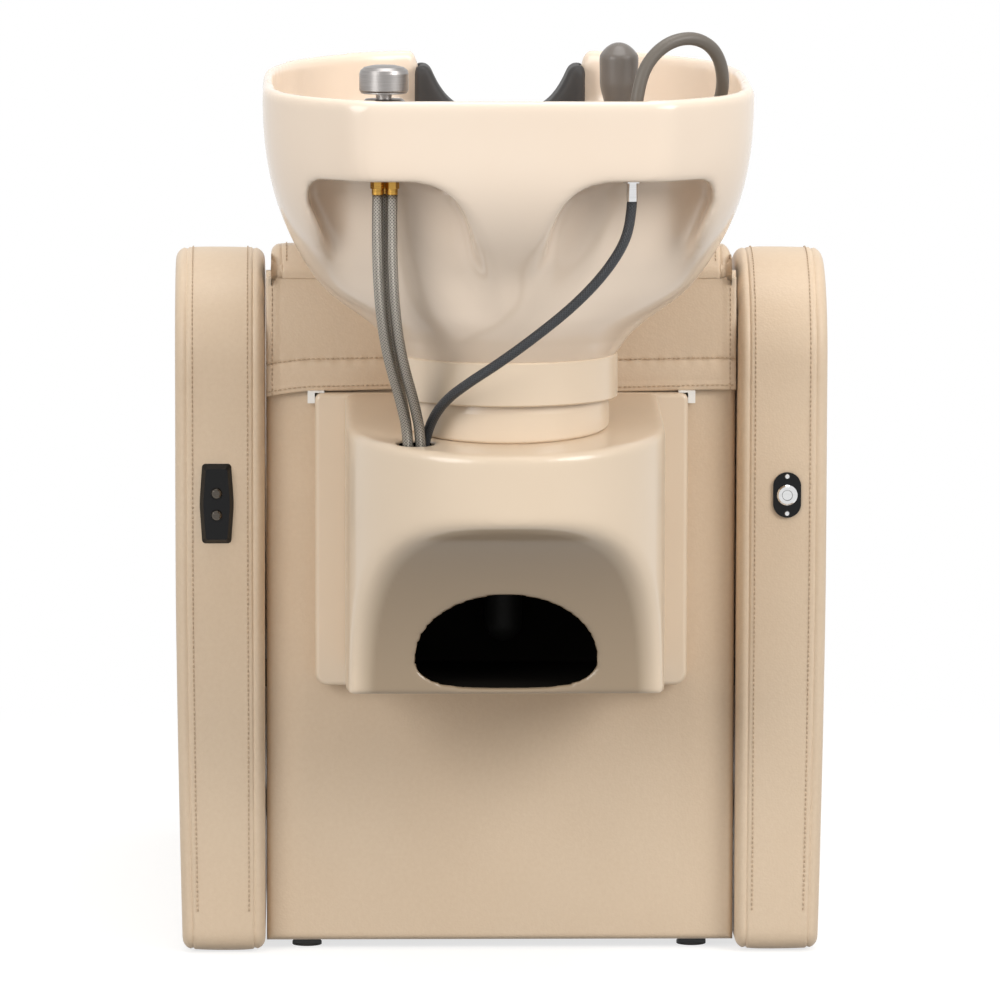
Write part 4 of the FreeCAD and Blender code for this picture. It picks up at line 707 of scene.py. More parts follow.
# %% Housing
HOUSING_CELL = 3.3
HOUSING_LOW = (-174.0, -338.0, 304.0)
SHEET_MM = 6.5
HOUSING_RADIUS, HOUSING_TOP, HOUSING_FLOOR = 168.0, 608.0, 312.0
HOUSING_REAR, HOUSING_FRONT = -330.0, 4.0
SCOOP_DEPTH, SCOOP_HEIGHT, SCOOP_POWER = 131.0, 190.0, 1.7
WINDOW_Z, WINDOW_HALF, WINDOW_UP, WINDOW_DOWN = 351.0, 95.0, 70.0, 33.0
X, Y, Z = axes(HOUSING_LOW, (174.0, 10.0, 616.0), HOUSING_CELL)
side = np.abs(X)
everywhere = 0 * X + 0 * Y + 0 * Z


def from_axis(x, y):
    """How far the D-shaped plan reaches at a point: round at the rear and straight beside it."""
    return np.where(y < DRAIN_Y, np.hypot(x, y - DRAIN_Y), np.abs(x))


def housing_form(margin):
    """Distance to the housing's outside, or to its inside with the sheet's thickness as margin."""
    plan = from_axis(X, Y) - (HOUSING_RADIUS - margin)
    top = (Z - HOUSING_TOP - 0.0868 * (Y - HOUSING_FRONT) + margin) * 0.996
    form = soft_max(soft_max(plan, top, 9.0), HOUSING_FLOOR + margin - Z, 3.0)
    reach = ((np.abs(Y - HOUSING_REAR) / (SCOOP_DEPTH + margin)) ** SCOOP_POWER
             + (np.maximum(Z - HOUSING_FLOOR, 0.0) / (SCOOP_HEIGHT + margin)) ** SCOOP_POWER)
    scoop = to_distance((reach ** (1.0 / SCOOP_POWER) - 1.0) * 150.0 + everywhere, HOUSING_CELL)
    roll = 4.0 + 9.0 * np.clip((Z - 325.0) / 70.0, 0.0, 1.0)
    return soft_max(form, -scoop, roll)


outer = housing_form(0.0)
shell = np.maximum(np.maximum(outer, Y - HOUSING_FRONT), -np.maximum(housing_form(SHEET_MM), Y + 3.0))
up = Z - WINDOW_Z
power = np.where(up > 0, 2.0, 2.8)
window = (side / WINDOW_HALF) ** power + (np.abs(up) / np.where(up > 0, WINDOW_UP, WINDOW_DOWN)) ** power
window = window ** (1.0 / power)
window = np.maximum((window - 1.0) * 55.0, Y + 110.0)
shell = soft_max(shell, -window, 2.0)
shell = np.maximum(shell, -np.maximum(np.hypot(X, Y - DRAIN_Y) - 92.0, 560.0 - Z))
shell = soft_max(shell, -np.maximum(np.hypot(X + 96.0, Y + 258.0) - 19.0, 540.0 - Z), 3.0)
for y in (-152.0, -112.0):
    shell = np.maximum(shell, -np.maximum(np.hypot(X + 96.0, Y - y) - 16.0, Z - 330.0))
housing = cast("housing_shell", shell, HOUSING_LOW, HOUSING_CELL, "cream_abs", "carcass", "housing", rounds=2)

# %% [markdown]
# The inside of the shell is rough and near black, as painted shade: faces that lie deeper than most of the sheet get
# the second material.
# The scoop gets painted shade, a darker tone where the overhang keeps the light off it, from a number at each point,
# which fades in from the walls and from above.

# %% Housing: painted shade inside and in the scoop
cells = (read_mm(housing.data.polygons, "center") - HOUSING_LOW) / HOUSING_CELL
i, j, k = np.clip(np.rint(cells).astype(int), 0, np.array(outer.shape) - 1).T
inside = outer[i, j, k] < -0.75 * SHEET_MM
# The second material paints the shade inside the shell.
housing.data.materials.append(inside_painted_shade)
housing.data.polygons.foreach_set("material_index", inside.astype(np.int32))
x, y, z = read_mm(housing.data.vertices, "co").T
# Painted shade in the scoop: 1 well inside it below 485 mm, fading to 0 over 22 mm from the walls and 30 mm from above.
painted_shade = np.clip((165.0 - from_axis(x, y)) / 22.0, 0.0, 1.0) * np.clip((515.0 - z) / 30.0, 0.0, 1.0) * (y < -60.0)
housing.data.attributes.new("scoop_painted_shade", "FLOAT", "POINT").data.foreach_set("value", painted_shade)
housing.data.update()
print("housing", int(inside.sum()), "faces inside,", int((painted_shade > 0.5).sum()), "points underneath")

# %% [markdown]
# ## Neck rest and hand spray
# The neck rest is a saddle of soft rubber that grips the wall of the bowl in its notch, with a lip on each side. The
# hand spray is a moulded handle that swells into a round head with a short nozzle.

# %% Neck rest
SADDLE_CELL = 2.4
SADDLE_LOW = (-116.0, 92.0, 878.0)
SADDLE_HALF, SADDLE_FLOOR, SADDLE_TOP = 92.0, 887.0, 954.0
SADDLE_REAR, SADDLE_FRONT = 98.0, 164.0
GRIP_PLAY = 1.5
X, Y, Z = axes(SADDLE_LOW, (116.0, 170.0, 972.0), SADDLE_CELL)
side = np.abs(X)
wall_in = 126.0 - 11.0 * (X / 90.0) ** 2 - 0.62 * np.clip(910.0 - Z, 0.0, 60.0)
wall_out = 150.0 - 10.0 * (X / 90.0) ** 2 - 0.6 * np.clip(905.0 - Z, 0.0, 60.0)
dip = (Z - 903.0 - 1.5e-6 * side ** 4) / np.sqrt(1.0 + (6e-6 * side ** 3) ** 2)
saddle = soft_max(dip + 0 * Y, soft_max(side - SADDLE_HALF, SADDLE_FLOOR - Z, 20.0), 7.0)
saddle = soft_max(saddle, Z - SADDLE_TOP, 9.0)
saddle = soft_max(saddle, np.maximum(SADDLE_REAR - Y, Y - SADDLE_FRONT), 10.0)
flare = (side - 83.5 - NOTCH_FLARE * (Z - NOTCH_TURN)) + np.where(Z < NOTCH_TURN, -50.0, 0.0)
in_notch = np.maximum(np.hypot(X, Z - 991.6) - 98.2, flare)
grip = np.maximum(np.maximum(wall_in - GRIP_PLAY - Y, Y - wall_out - GRIP_PLAY), -in_notch)
saddle = soft_max(saddle, -grip, 2.0)
cast("neck_rest_saddle", saddle, SADDLE_LOW, SADDLE_CELL, "dark_rubber", "bowl", "neck_rest")

# %% Hand spray
SPRAY_CELL = 1.7
SPRAY_LOW = (90.0, -304.0, 812.0)
SPRAY_X, SPRAY_FOOT, SPRAY_HEAD = 113.0, 818.0, 985.0
FORWARD, DOWN = 0.942, 0.336  # direction of the nozzle
X, Y, Z = axes(SPRAY_LOW, (136.0, -242.0, 1008.0), SPRAY_CELL)
thick = np.interp(Z, (SPRAY_FOOT, 840.0, 900.0, SPRAY_HEAD), (11.0, 12.8, 13.8, 15.4))
handle = soft_max(np.hypot(X - SPRAY_X, Y + 280.0) - thick, np.maximum(SPRAY_FOOT - Z, Z - SPRAY_HEAD), 3.0)
head = np.sqrt((X - SPRAY_X) ** 2 + (Y + 279.5) ** 2 + (Z - np.clip(Z, 962.0, 985.5)) ** 2) - 16.6
ahead = FORWARD * (Y + 279.0) - DOWN * (Z - SPRAY_HEAD)
radial = np.sqrt((X - SPRAY_X) ** 2 + (DOWN * (Y + 279.0) + FORWARD * (Z - SPRAY_HEAD)) ** 2)
nozzle = soft_max(radial - 15.6, np.maximum(ahead - 27.4, -ahead), 3.0)
form = soft_min(soft_min(handle, head, 16.0), nozzle, 6.0)
form = np.maximum(form, -np.maximum(radial - 13.2, 20.4 - ahead))
cast("hand_spray_moulding", form, SPRAY_LOW, SPRAY_CELL, "taupe_plastic", "hand_spray", "hand_spray")

# %% [markdown]
# ## Ring under the tap's knob
# A thin bright ring closes the gap between the knob and the tap's body. It is a profile turned round the knob's axis.
# The profile is closed, so the last row of points joins the first.

# %% Ring under the knob
RING_SIDES = 48
profile = [(12.0, 954.7), (23.2, 954.7), (23.7, 955.1), (23.7, 956.4), (23.2, 956.9), (12.0, 956.9)]
turns = np.linspace(0.0, 2 * np.pi, RING_SIDES, endpoint=False)
points = [(-130.0 + r * math.cos(a), -353.0 + r * math.sin(a), z) for r, z in profile for a in turns]
last = (len(profile) - 1) * RING_SIDES
faces = grid_faces(len(profile), RING_SIDES)
for a in range(RING_SIDES):
    b = (a + 1) % RING_SIDES
    faces.append((a, b, b + last, a + last))
ring = piece("tap_knob_ring", points, faces, "brushed_steel", "tap_knob", smooth=False)
facing_out(ring)
print("ring", len(ring.data.polygons), "faces")

# %% [markdown]
# ## Upholstery
# Arms, back cushion, seat and leg rest are slabs in a sewn cover: an outline in side view, drawn across from one face
# to the other. The faces meet the band in a rounded edge, a seam sits in a shallow groove there, and the cover puckers
# a little along it. One function draws them all, and the first step is the outline with its rounded corners.


# %% Rounded outline
def rounded_outline(corners, step):
    """Points and outward normals round a polygon of (y, z, radius) corners."""
    corners = [(np.array(c[:2], float), c[2]) for c in corners]
    area = sum(a[0][0] * b[0][1] - b[0][0] * a[0][1] for a, b in zip(corners, corners[1:] + corners[:1]))
    sign = 1.0 if area > 0 else -1.0
    count = len(corners)
    arcs = []
    for i, (here, radius) in enumerate(corners):
        back = corners[i - 1][0] - here
        ahead = corners[(i + 1) % count][0] - here
        back = back / np.linalg.norm(back)
        ahead = ahead / np.linalg.norm(ahead)
        half = 0.5 * math.acos(float(np.clip(back @ ahead, -1, 1)))
        reach = radius / math.tan(half)
        middle = back + ahead
        middle = middle / np.linalg.norm(middle)
        hollow = sign * (ahead[0] * back[1] - ahead[1] * back[0]) < 0
        centre = here + middle * radius / math.sin(half)
        arcs.append((here + back * reach, centre, here + ahead * reach, radius, hollow))
    points, normals = [], []
    for i, (first, centre, last, radius, hollow) in enumerate(arcs):
        a0 = math.atan2(*(first - centre)[::-1])
        sweep = math.atan2(*(last - centre)[::-1]) - a0
        sweep = (sweep + math.pi) % (2 * math.pi) - math.pi
        n = max(5, int(abs(sweep) * radius / step))
        for k in range(n + 1):
            a = a0 + sweep * k / n
            out = np.array((math.cos(a), math.sin(a)))
            points.append(centre + radius * out)
            normals.append(-out if hollow else out)
        run = arcs[(i + 1) % count][0] - last
        size = np.linalg.norm(run)
        normal = sign * np.array((run[1], -run[0])) / max(size, 1e-9)
        for k in range(1, int(size / step)):
            points.append(last + run * k * step / size)
            normals.append(normal)
    return np.array(points), np.array(normals)


def ripple(a, b, seed):
    """Slow, irregular waves between -1 and 1."""
    total = 0.0
    for k, (p, q) in enumerate(((37.0, 61.0), (71.0, 29.0), (113.0, 97.0), (23.0, 43.0))):
        total = total + np.sin(a / p + seed + k) * np.cos(b / q - 1.7 * seed + 2 * k)
    return total / 2.6


print("a square with round corners has", len(rounded_outline([(0, 0, 9), (90, 0, 9), (90, 90, 9), (0, 90, 9)], 9.0)[0]),
      "points")

# %% [markdown]
# A cushion is foam that pushes its cover out. Cloth does that with pressure: a copy of the cover is remeshed evenly,
# held where it is glued to its board, and blown up for 20 frames. The remesh would lose the seams, so the movement is
# carried over to the sewn cover instead of the copy taking its place.

# %% Swelling by Cloth
VOXEL = 0.006
PRESSURE = 4.0
FRAMES = 20
NEIGHBOURS = 8


def swelling(obj, held, cap):
    """Blows up a copy of a cushion. Returns a function that moves points in mm as the cover beside them moved, cap at
    most. Where held is true the cover is glued to its board."""
    copy = new_object("swelling", obj.data.copy())
    remesh = copy.modifiers.new("remesh", "REMESH")
    remesh.mode = "VOXEL"
    remesh.voxel_size = VOXEL
    mesh = evaluated_mesh(copy)
    copy.modifiers.clear()
    copy.data = mesh
    start = read_mm(mesh.vertices, "co")
    glued = copy.vertex_groups.new(name="glued")
    glued.add(np.flatnonzero(held(*start.T)).tolist(), 1.0, "REPLACE")
    cloth = copy.modifiers.new("cloth", "CLOTH")
    cloth.settings.use_pressure = True
    cloth.settings.uniform_pressure_force = PRESSURE
    cloth.settings.vertex_group_mass = glued.name
    cloth.settings.effector_weights.gravity = 0.0
    for number in range(1, FRAMES + 1):
        scene.frame_set(number)
    blown = copy.evaluated_get(bpy.context.evaluated_depsgraph_get()).to_mesh()
    end = read_mm(blown.vertices, "co")
    scene.frame_set(1)
    moved = end - start
    far = np.linalg.norm(moved, axis=1)
    moved = moved * (cap * np.tanh(far / cap) / np.maximum(far, 1e-6))[:, None]
    tree = KDTree(len(start))
    for i, place in enumerate(start):
        tree.insert(place, i)
    tree.balance()
    bpy.data.objects.remove(copy)
    print(obj.name, "cloth of", len(start), "points moved", round(far.mean(), 1), "mm, at most", round(far.max(), 1))

    def move(points):
        shifts = []
        for point in points:
            near = tree.find_n(point, NEIGHBOURS)
            weight = np.array([1.0 / (distance + 2.0) for _, _, distance in near])
            shifts.append(weight @ moved[[i for _, i, _ in near]] / weight.sum())
        return points + np.array(shifts)

    return move


print("cloth pressure", PRESSURE, "over", FRAMES, "frames")

# %% [markdown]
# The slab itself: rows of points follow the outline at places across it, which lie close together at the edge and at
# the seam. The two faces are closed by smaller and smaller copies of the outline, which swell towards the middle.

# %% Upholstered slab
OUTLINE_STEP = 9.0
SWELL_REACH = 170.0
FACE_RINGS = (0.975, 0.94, 0.88, 0.78, 0.64, 0.48, 0.32, 0.16)


def places_across(width, edge, seam):
    """Where the rows of a slab lie, from its first face to its second."""
    corner = [edge * (1 - math.cos(t)) for t in np.linspace(0.0, np.pi / 2, 7)]
    groove = [seam + d for d in (-2.6, -1.4, -0.6, 0.0, 0.6, 1.4, 2.6, 4.5)]
    inner = [x for x in groove if x > edge * 0.99] + list(np.linspace(seam + 7.0, width / 2, 9))
    half = corner + [x for x in inner if x > corner[-1] + 0.2]
    return np.array(half + [width - x for x in half[-2::-1]])


def well_inside(corners, flat):
    """0 on the sides of the outline, 1 well inside them, with no ridge in between."""
    depth = 1.0
    for a, b in zip(corners, corners[1:] + corners[:1]):
        dy, dz = b[0] - a[0], b[1] - a[1]
        away = np.abs(dy * (flat[:, 1] - a[1]) - dz * (flat[:, 0] - a[0])) / math.hypot(dy, dz)
        depth = depth * ease(np.clip(away / SWELL_REACH, 0.0, 1.0))
    return depth


def slab(name, corners, x0, x1, body, node, edge, seam, crown, seed, bulge=(0.0, 0.0), shape=None, held=None, puff=0.0):
    """Upholstered slab between x0 and x1; returns its piece and a function that gives points on its band."""
    outline, normals = rounded_outline(corners, OUTLINE_STEP)
    count = len(outline)
    run = run_along(outline)
    width = x1 - x0

    def sunk(x):
        """How far the cover lies below the outline at x from the first face."""
        d = np.minimum(x, width - x)
        corner = np.where(d < edge, edge - np.sqrt(np.maximum(edge ** 2 - (edge - d) ** 2, 0.0)), 0.0)
        groove = 1.7 * np.exp(-((d - seam) / 1.1) ** 2)
        return corner + groove + crown * np.maximum(1.0 - d / (width / 2), 0.0) ** 2

    rows = []
    for x in places_across(width, edge, seam):
        d = min(x, width - x)
        slack = 0.55 * ripple(run, x * 1.3, seed) * (1.0 - math.exp(-((d - seam) / 9.0) ** 2))
        pucker = 0.35 * np.sin(run / 2.9) * math.exp(-((d - seam) / 6.0) ** 2)
        offset = sunk(x) - slack + pucker
        rows.append(np.column_stack([np.full(count, x0 + x), outline - normals * offset[:, None]]))
    centre = outline.mean(axis=0)
    caps = []
    for row, out in ((rows[0], -bulge[0]), (rows[-1], bulge[1])):
        cap = []
        for t in FACE_RINGS:
            flat = centre + (row[:, 1:] - centre) * t
            uneven = 0.5 * np.sign(out) * ripple(flat[:, 0], flat[:, 1], seed + 3)
            cap.append(np.column_stack([row[:, 0] + well_inside(corners, flat) * (out + uneven), flat]))
        caps.append((cap, np.array([[row[0, 0] + out, centre[0], centre[1]]])))
    stack = caps[0][0][::-1] + rows + caps[1][0]
    points = np.concatenate(stack + [caps[0][1], caps[1][1]])
    if shape:
        points = shape(points)
    obj = piece(name, points, closed_faces(len(stack), count), "leatherette", body, node)
    facing_out(obj)
    if puff:
        shape = swelling(obj, held, puff)
        obj.data.vertices.foreach_set("co", metres(shape(points)).ravel())
        obj.data.update()

    def along(x, lift):
        """The line round the band at x from the first face, lifted off the cover."""
        path = np.column_stack([np.full(count, x0 + x), outline - normals * (sunk(x) - lift)])
        return shape(path) if shape else path

    return obj, along


print("slab ready")

# %% [markdown]
# ## Stitches
# A seam is topped by a row of stitches. Geometry Nodes set one small thread along a line at every stitch length: the
# line is resampled, a bead is placed on each point, turned along the line, and the result is made real.

# %% Stitch tree
stitch_tree = bpy.data.node_groups.new("stitch_row", "GeometryNodeTree")
face = stitch_tree.interface
face.new_socket("Geometry", in_out="INPUT", socket_type="NodeSocketGeometry")
sizes = {}
for label, value in (("Pitch", 0.006), ("Length", 0.0046), ("Thickness", 0.0011)):
    socket = face.new_socket(label, in_out="INPUT", socket_type="NodeSocketFloat")
    socket.default_value = value
    sizes[label] = socket.identifier
face.new_socket("Geometry", in_out="OUTPUT", socket_type="NodeSocketGeometry")
given = add(stitch_tree, "NodeGroupInput")
dots = add(stitch_tree, "GeometryNodeResampleCurve", {"Curve": given.outputs["Geometry"],
                                                      "Length": given.outputs["Pitch"]}, mode="LENGTH")
bead = add(stitch_tree, "GeometryNodeMeshUVSphere", {"Segments": 6, "Rings": 4, "Radius": 0.5})
heading = add(stitch_tree, "GeometryNodeInputTangent")
turned = add(stitch_tree, "FunctionNodeAlignRotationToVector", {"Vector": heading.outputs["Tangent"]}, axis="Z")
bulk = add(stitch_tree, "ShaderNodeCombineXYZ", {"X": given.outputs["Thickness"], "Y": given.outputs["Thickness"],
                                                 "Z": given.outputs["Length"]})
placed = add(stitch_tree, "GeometryNodeInstanceOnPoints", {
    "Points": dots.outputs["Curve"], "Instance": bead.outputs["Mesh"], "Rotation": turned.outputs["Rotation"],
    "Scale": bulk.outputs["Vector"]})
real = add(stitch_tree, "GeometryNodeRealizeInstances", {"Geometry": placed.outputs["Instances"]})
painted = add(stitch_tree, "GeometryNodeSetMaterial", {"Geometry": real.outputs["Geometry"], "Material": thread})
add(stitch_tree, "NodeGroupOutput", {"Geometry": painted.outputs["Geometry"]})
print("stitch tree", len(stitch_tree.nodes), "nodes")

# %% Rows of stitches
BEAD_FACES = 24


def stitches(name, rows, body, pitch=0.0052, length=0.004, thickness=0.0014):
    """Rows of stitches along lines of points in mm, as one plain mesh."""
    curve = bpy.data.curves.new(name + "_line", "CURVE")
    curve.dimensions = "3D"
    for row in rows:
        add_spline(curve, "POLY", metres(row))
    holder = new_object(name + "_line", curve)
    maker = holder.modifiers.new("stitches", "NODES")
    maker.node_group = stitch_tree
    for label, value in (("Pitch", pitch), ("Length", length), ("Thickness", thickness)):
        maker[sizes[label]] = value
    mesh = evaluated_mesh(holder)
    bpy.data.objects.remove(holder)
    bpy.data.curves.remove(curve)
    mesh.name = name
    obj = new_object(name, mesh)
    mesh.polygons.foreach_set("use_smooth", [True] * len(mesh.polygons))
    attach(obj, body)
    print(name, len(mesh.polygons) // BEAD_FACES, "stitches")
    return obj


print("stitches ready")

# %% [markdown]
# ## Arms
# Each arm is a board in foam. Its cover has a band that runs over the top and down both ends, with a seam about 12 mm
# from each face and stitches inside it. The outer face swells a little at mid height and draws in towards the floor.
# The cover is stretched over its board, so nothing is blown up here.

# %% Arms
ARM_CORNERS = [(0, 1.5, 20), (0, 782.0, 115), (843, 609.0, 95), (829, 1.5, 24)]
ARM_INNER, ARM_OUTER = 254.0, 350.0
ARM_SWELL = 2.2


def drawn_in(sign):
    """Pulls an arm's outer face in towards the floor."""
    def shape(points):
        points = points.copy()
        low = np.clip((430.0 - points[:, 2]) / 420.0, 0.0, 1.0)
        outer = np.clip((np.abs(points[:, 0]) - ARM_INNER) / (ARM_OUTER - ARM_INNER), 0.0, 1.0)
        points[:, 0] -= sign * 6.5 * low ** 1.5 * outer
        return points
    return shape


for name, sign in (("left", -1), ("right", 1)):
    x0, x1 = (ARM_INNER, ARM_OUTER) if sign > 0 else (-ARM_OUTER, -ARM_INNER)
    bulge = (0.0, ARM_SWELL) if sign > 0 else (ARM_SWELL, 0.0)
    arm, along = slab(name + "_arm_cover", ARM_CORNERS, x0, x1, "carcass", name + "_arm_upholstery", edge=12.0,
                      seam=12.4, crown=1.3, seed=0.4 + sign, bulge=bulge, shape=drawn_in(sign))
    lines = [along(x, 0.85) for x in (18.5, 77.5)]
    stitches(name + "_arm_stitches", [line[line[:, 2] > 40.0] for line in lines], "carcass")
    print(arm.name, len(arm.data.polygons), "faces")

# %% [markdown]
# ## Rear panel
# The panel closes the chair's back between the arms. Its cover is pulled over thin foam and round the board's edges,
# so it is nearly flat, with a soft roll along its sides and a slow unevenness that shows where light rakes over it.

# %% Rear panel
half, low, high = 252.5, 9.5, 737.0
PANEL_REAR, PANEL_FRONT, PANEL_ROLL = 30.0, 50.0, 7.0
ring_x = np.concatenate([np.linspace(-1, -0.94, 7), np.linspace(-0.9, 0.9, 46), np.linspace(0.94, 1, 7)])
ring_z = np.concatenate([np.linspace(-1, -0.96, 7), np.linspace(-0.93, 0.93, 60), np.linspace(0.96, 1, 7)])
u, v = np.meshgrid(ring_x, ring_z)
gx = u * half
gz = (low + high) / 2 + v * (high - low) / 2
roll = np.maximum(np.clip(np.abs(gx) - half + PANEL_ROLL, 0, PANEL_ROLL),
                  np.clip(np.abs(gz - (low + high) / 2) - (high - low) / 2 + PANEL_ROLL, 0, PANEL_ROLL))
gy = PANEL_REAR + PANEL_ROLL - np.sqrt(np.maximum(PANEL_ROLL ** 2 - roll ** 2, 0.0))
gy = gy + 0.5 * ripple(gx, gz, 1.1) * (roll <= 0)
gy = gy - 1.6 * (1 - u ** 6) * (1 - v ** 8) * (np.abs(gx) > 203)
front = np.column_stack([gx.ravel(), gy.ravel(), gz.ravel()])
rows, columns = u.shape
edge = list(range(columns)) + [i * columns + columns - 1 for i in range(1, rows)]
edge += [(rows - 1) * columns + i for i in range(columns - 2, -1, -1)] + [i * columns for i in range(rows - 2, 0, -1)]
back = front[edge].copy()
back[:, 1] = PANEL_FRONT
faces = grid_faces(rows, columns, wrap=False)
n, around = len(front), len(edge)
faces += [(edge[k], edge[(k + 1) % around], n + (k + 1) % around, n + k) for k in range(around)]
faces.append(tuple(range(n + around - 1, n - 1, -1)))
panel = piece("rear_panel_padding", np.concatenate([front, back]), faces, "leatherette", "carcass", "rear_panel_cover")
facing_out(panel)
print("panel", len(panel.data.polygons), "faces")

# %% [markdown]
# ## Flap
# A loose strip of the same leatherette is sewn under the back cushion and hangs over the panel's top edge, to cover
# the joint where the back reclines away. It waves, its left end droops, and its hems are double and stitched.

# %% Flap
FLAP_TOP, FLAP_LOW = 731.0, 609.5
SEWN_AT = 0.73  # share of the flap's height where a line is sewn across it
flap_x = np.linspace(-252.2, 252.2, 190)
flap_t = np.concatenate([np.linspace(0, 0.05, 4), np.linspace(0.08, 0.69, 20), np.linspace(0.70, 0.76, 7),
                         np.linspace(0.78, 1.0, 15)])
u, t = np.meshgrid(flap_x, flap_t)
droop = 5.5 * np.clip((-u - 205.0) / 48.0, 0, 1) ** 1.5 + 1.2 * np.sin(u / 58.0)
bottom = FLAP_LOW - droop
gz = FLAP_TOP + (bottom - FLAP_TOP) * t
wave = 2.6 * np.sin(u / 43.0 + 0.8) + 1.7 * np.sin(u / 24.0 + 2.0) + 1.0 * np.sin(u / 87.0)
billow = 2.4 * np.sin(np.clip(t / SEWN_AT, 0.0, 1.0) * math.pi)
billow = billow + 1.6 * np.sin(np.clip((t - SEWN_AT) / 0.27, 0.0, 1.0) * math.pi)
gy = 25.6 - 3.8 * t ** 1.4 - 0.8 * wave * t ** 1.2 * (0.55 + 0.45 * np.sin(u / 31.0 + 6.0 * t)) - billow
gy = gy + 1.5 * np.exp(-((t - SEWN_AT) / 0.012) ** 2)
pucker = 0.5 * np.sin(u / 2.6) * np.exp(-((t - SEWN_AT) / 0.045) ** 2)
gy = gy + pucker - 0.8 * (np.abs(u) > 241.5) - 0.7 * ((gz - bottom) < 8.0)
points = np.column_stack([u.ravel(), gy.ravel(), gz.ravel()])
faces = grid_faces(len(flap_t), len(flap_x), wrap=False)
flap = piece("rear_flap_sheet", points, faces, "leatherette", "carcass", "rear_flap")
thick = flap.modifiers.new("thickness", "SOLIDIFY")
thick.thickness = 0.0022
thick.offset = 0.0
print("flap", len(flap.data.polygons), "faces")

# %% Flap stitches
STITCH_LIFT = 1.7


def nearest_column(x):
    return int(np.argmin(np.abs(flap_x - x)))


def flap_line(level):
    """Points along the flap at a height above its lower edge."""
    line = []
    for x in np.linspace(-248.0, 248.0, 160):
        column = nearest_column(x)
        z = bottom[0, column] + level
        line.append((x, np.interp(-z, -gz[:, column], gy[:, column]) - STITCH_LIFT, z))
    return np.array(line)


ends = []
for x in (-246.0, 246.0):
    column = nearest_column(x)
    ends.append(np.column_stack([np.full(len(flap_t), x), gy[:, column] - STITCH_LIFT, gz[:, column]])[1:-1])
flap_thread = stitches("rear_flap_stitches", [flap_line(5.0), flap_line(34.5)] + ends, "carcass")

# %% [markdown]
# ## Cushions
# The back cushion leans between the arms, and its top roll shows behind the bowl, over the panel's top edge. The seat
# and the leg pad are slabs like the arms, with softer edges and more crown. All three are blown up by Cloth and glued
# to their boards on one side.

# %% Back cushion
BACK_CORNERS = [(88.2, 728, 2), (51, 740, 2), (29, 740, 1.5), (29, 727, 1.5), (20, 727, 4), (20, 742, 12),
                (48, 767, 16), (134, 767, 32), (272, 452, 30), (174, 452, 15)]
back, along = slab("back_cushion_cover", BACK_CORNERS, -247, 247, "carcass", "back_cushion", edge=11.0, seam=11.6,
                   crown=3.5, seed=4.0, puff=8.0,
                   held=lambda x, y, z: (y < 62.0) | (y < 180.0 - 0.3126 * (z - 453.5)))
lines = [along(x, 0.85) for x in (16.5, 477.5)]
stitches("back_stitches", [line[(line[:, 2] > 744.0) | (line[:, 1] > 200.0)] for line in lines], "carcass")
print("back cushion", len(back.data.polygons), "faces")

# %% Seat and leg rest
SEAT_CORNERS = [(236, 330, 24), (246, 444, 25), (788, 452, 52), (782, 330, 24)]
LEG_CORNERS = [(820, 92, 11), (820, 363, 11), (850, 363, 13), (850, 92, 13)]
seat, along = slab("seat_cushion_cover", SEAT_CORNERS, -239, 239, "carcass", "seat_cushion", edge=18.0, seam=20.0,
                   crown=5.0, seed=2.0, puff=10.0, held=lambda x, y, z: (z < 338.0) | (y < 282.0))
lines = [along(x, 0.9) for x in (27.0, 451.0)]
stitches("seat_stitches", [line[line[:, 2] > 345] for line in lines], "carcass", pitch=0.007)
leg, _ = slab("leg_pad_cover", LEG_CORNERS, -243.5, 243.5, "leg_rest", "leg_pad", edge=8.5, seam=10.4, crown=2.0,
              seed=3.0, puff=5.0, held=lambda x, y, z: y < 826.0)
print("seat and leg pad", len(seat.data.polygons), len(leg.data.polygons), "faces")

# %% [markdown]
# ## Light and floor
# Soft studio light: a large key from the right and above, a weaker one from the left, one overhead, a faint one low
# on the camera's side that lifts the shade under the bowl, and a pale world. The background is white to the camera
# through Light Path, and to mirrors and glass too, so no extra light falls on the object for it.

# %% World
WHITE = (1, 1, 1, 1)


def sees_background(tree):
    """1 for rays from the camera, a mirror or glass, and 0 for the light that falls on the object."""
    rays = add(tree, "ShaderNodeLightPath").outputs
    seen = rays["Is Camera Ray"]
    for kind in ("Is Glossy Ray", "Is Transmission Ray"):
        seen = add(tree, "ShaderNodeMath", {0: seen, 1: rays[kind]}, operation="MAXIMUM").outputs[0]
    return seen


world = bpy.data.worlds.new("studio")
scene.world = world
world.use_nodes = True
tree = world.node_tree
tree.nodes.clear()
aloft = add(tree, "ShaderNodeSeparateXYZ", {"Vector": add(tree, "ShaderNodeTexCoord").outputs["Generated"]})
lit = add(tree, "ShaderNodeMapRange", {"Value": aloft.outputs["Z"], "From Min": -0.3, "From Max": 0.7,
                                       "To Min": 0.28, "To Max": 0.65}, interpolation_type="SMOOTHSTEP")
strength = add(tree, "ShaderNodeMapRange", {"Value": sees_background(tree), "To Min": lit.outputs["Result"],
                                            "To Max": 1.0})
sky = add(tree, "ShaderNodeBackground", {"Color": WHITE, "Strength": strength.outputs["Result"]})
add(tree, "ShaderNodeOutputWorld", {"Surface": sky.outputs["Background"]})
print("world", len(tree.nodes), "nodes")


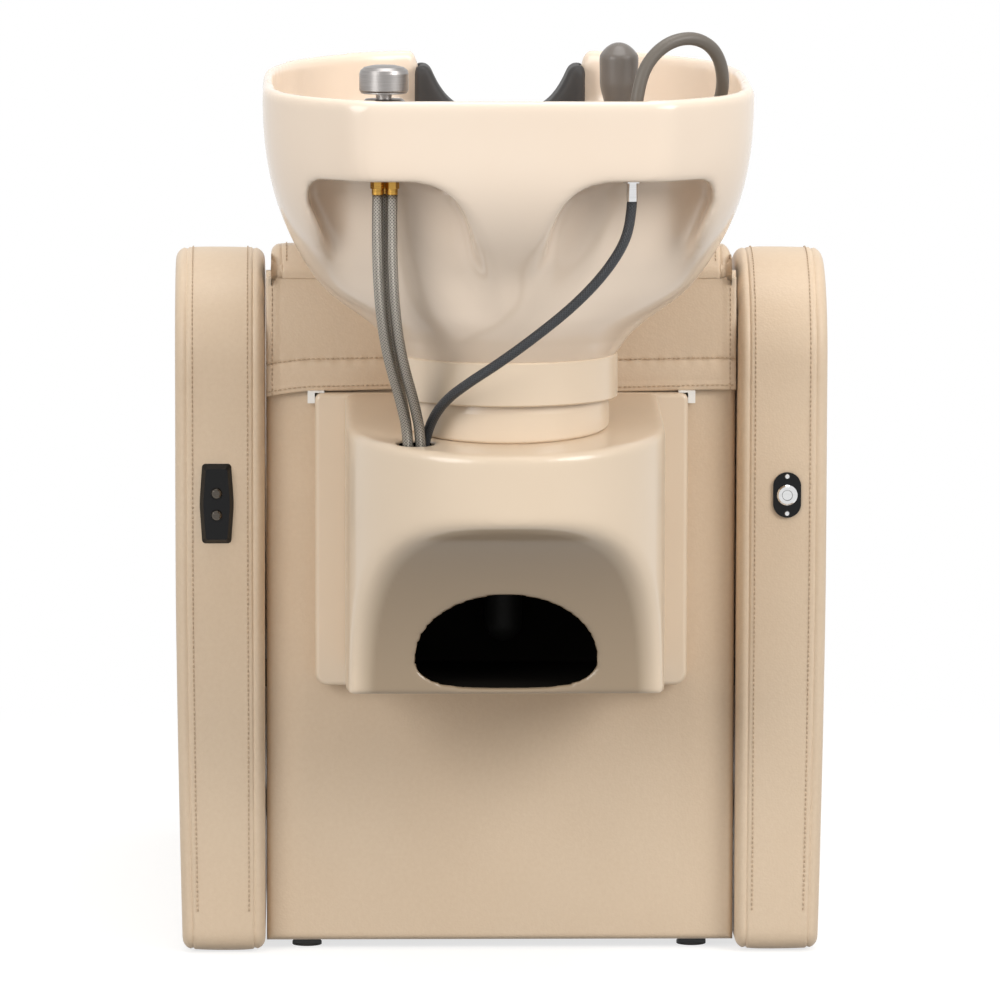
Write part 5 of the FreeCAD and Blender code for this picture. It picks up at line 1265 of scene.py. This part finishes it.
# %% Lamps
def lamp(name, place, aim, size, watts, mirrored=True):
    data = bpy.data.lights.new(name, "AREA")
    data.shape = "DISK"
    data.size = size
    data.energy = watts
    obj = new_object(name, data)
    obj.location = place
    obj.rotation_euler = (Vector(aim) - Vector(place)).to_track_quat("-Z", "Y").to_euler()
    obj.visible_glossy = mirrored


lamp("key_right", (2.9, -2.8, 2.4), (0, -0.3, 0.75), 2.2, 88.0)
lamp("fill_left", (-2.6, -3.2, 1.9), (0, -0.3, 0.75), 2.2, 64.0)
lamp("top", (0.2, -0.6, 3.4), (0, -0.2, 0.5), 2.0, 36.0)
lamp("front_low", (-0.4, -5.0, 0.9), (0, -0.3, 0.7), 4.2, 12.0, mirrored=False)

# %% [markdown]
# The floor is matt and pale, and keeps the object's shadow. Away from the object it turns into an even white glow, so
# that no horizon shows.

# %% Floor
floor_paint, tree, shader, place, _ = finish("studio_floor_white", Roughness=0.9, Base_Color=linear("#9E9D9B"),
                                             Emission_Color=WHITE)
seen = sees_background(tree)
near = add(tree, "ShaderNodeMath", {0: seen, 1: 0.72}, operation="MULTIPLY")
feed(tree, shader, {"Emission Strength": near.outputs[0]})
span = add(tree, "ShaderNodeVectorMath", {0: place}, operation="LENGTH")
far = add(tree, "ShaderNodeMapRange", {"Value": span.outputs["Value"], "From Min": 0.75, "From Max": 1.7},
          interpolation_type="SMOOTHSTEP")
white = add(tree, "ShaderNodeMapRange", {"Value": seen, "To Min": 0.4, "To Max": 1.0})
glow = add(tree, "ShaderNodeEmission", {"Color": WHITE, "Strength": white.outputs["Result"]})
mixed = add(tree, "ShaderNodeMixShader", {"Fac": far.outputs["Result"], 1: shader.outputs["BSDF"],
                                          2: glow.outputs["Emission"]})
feed(tree, tree.nodes["Material Output"], {"Surface": mixed.outputs["Shader"]})
mesh = bpy.data.meshes.new("floor")
mesh.from_pydata([(-9, -9, 0), (9, -9, 0), (9, 14, 0), (-9, 14, 0)], [], [(0, 1, 2, 3)])
mesh.materials.append(floor_paint)
floor = new_object("floor", mesh)
print("floor", floor_paint.name)
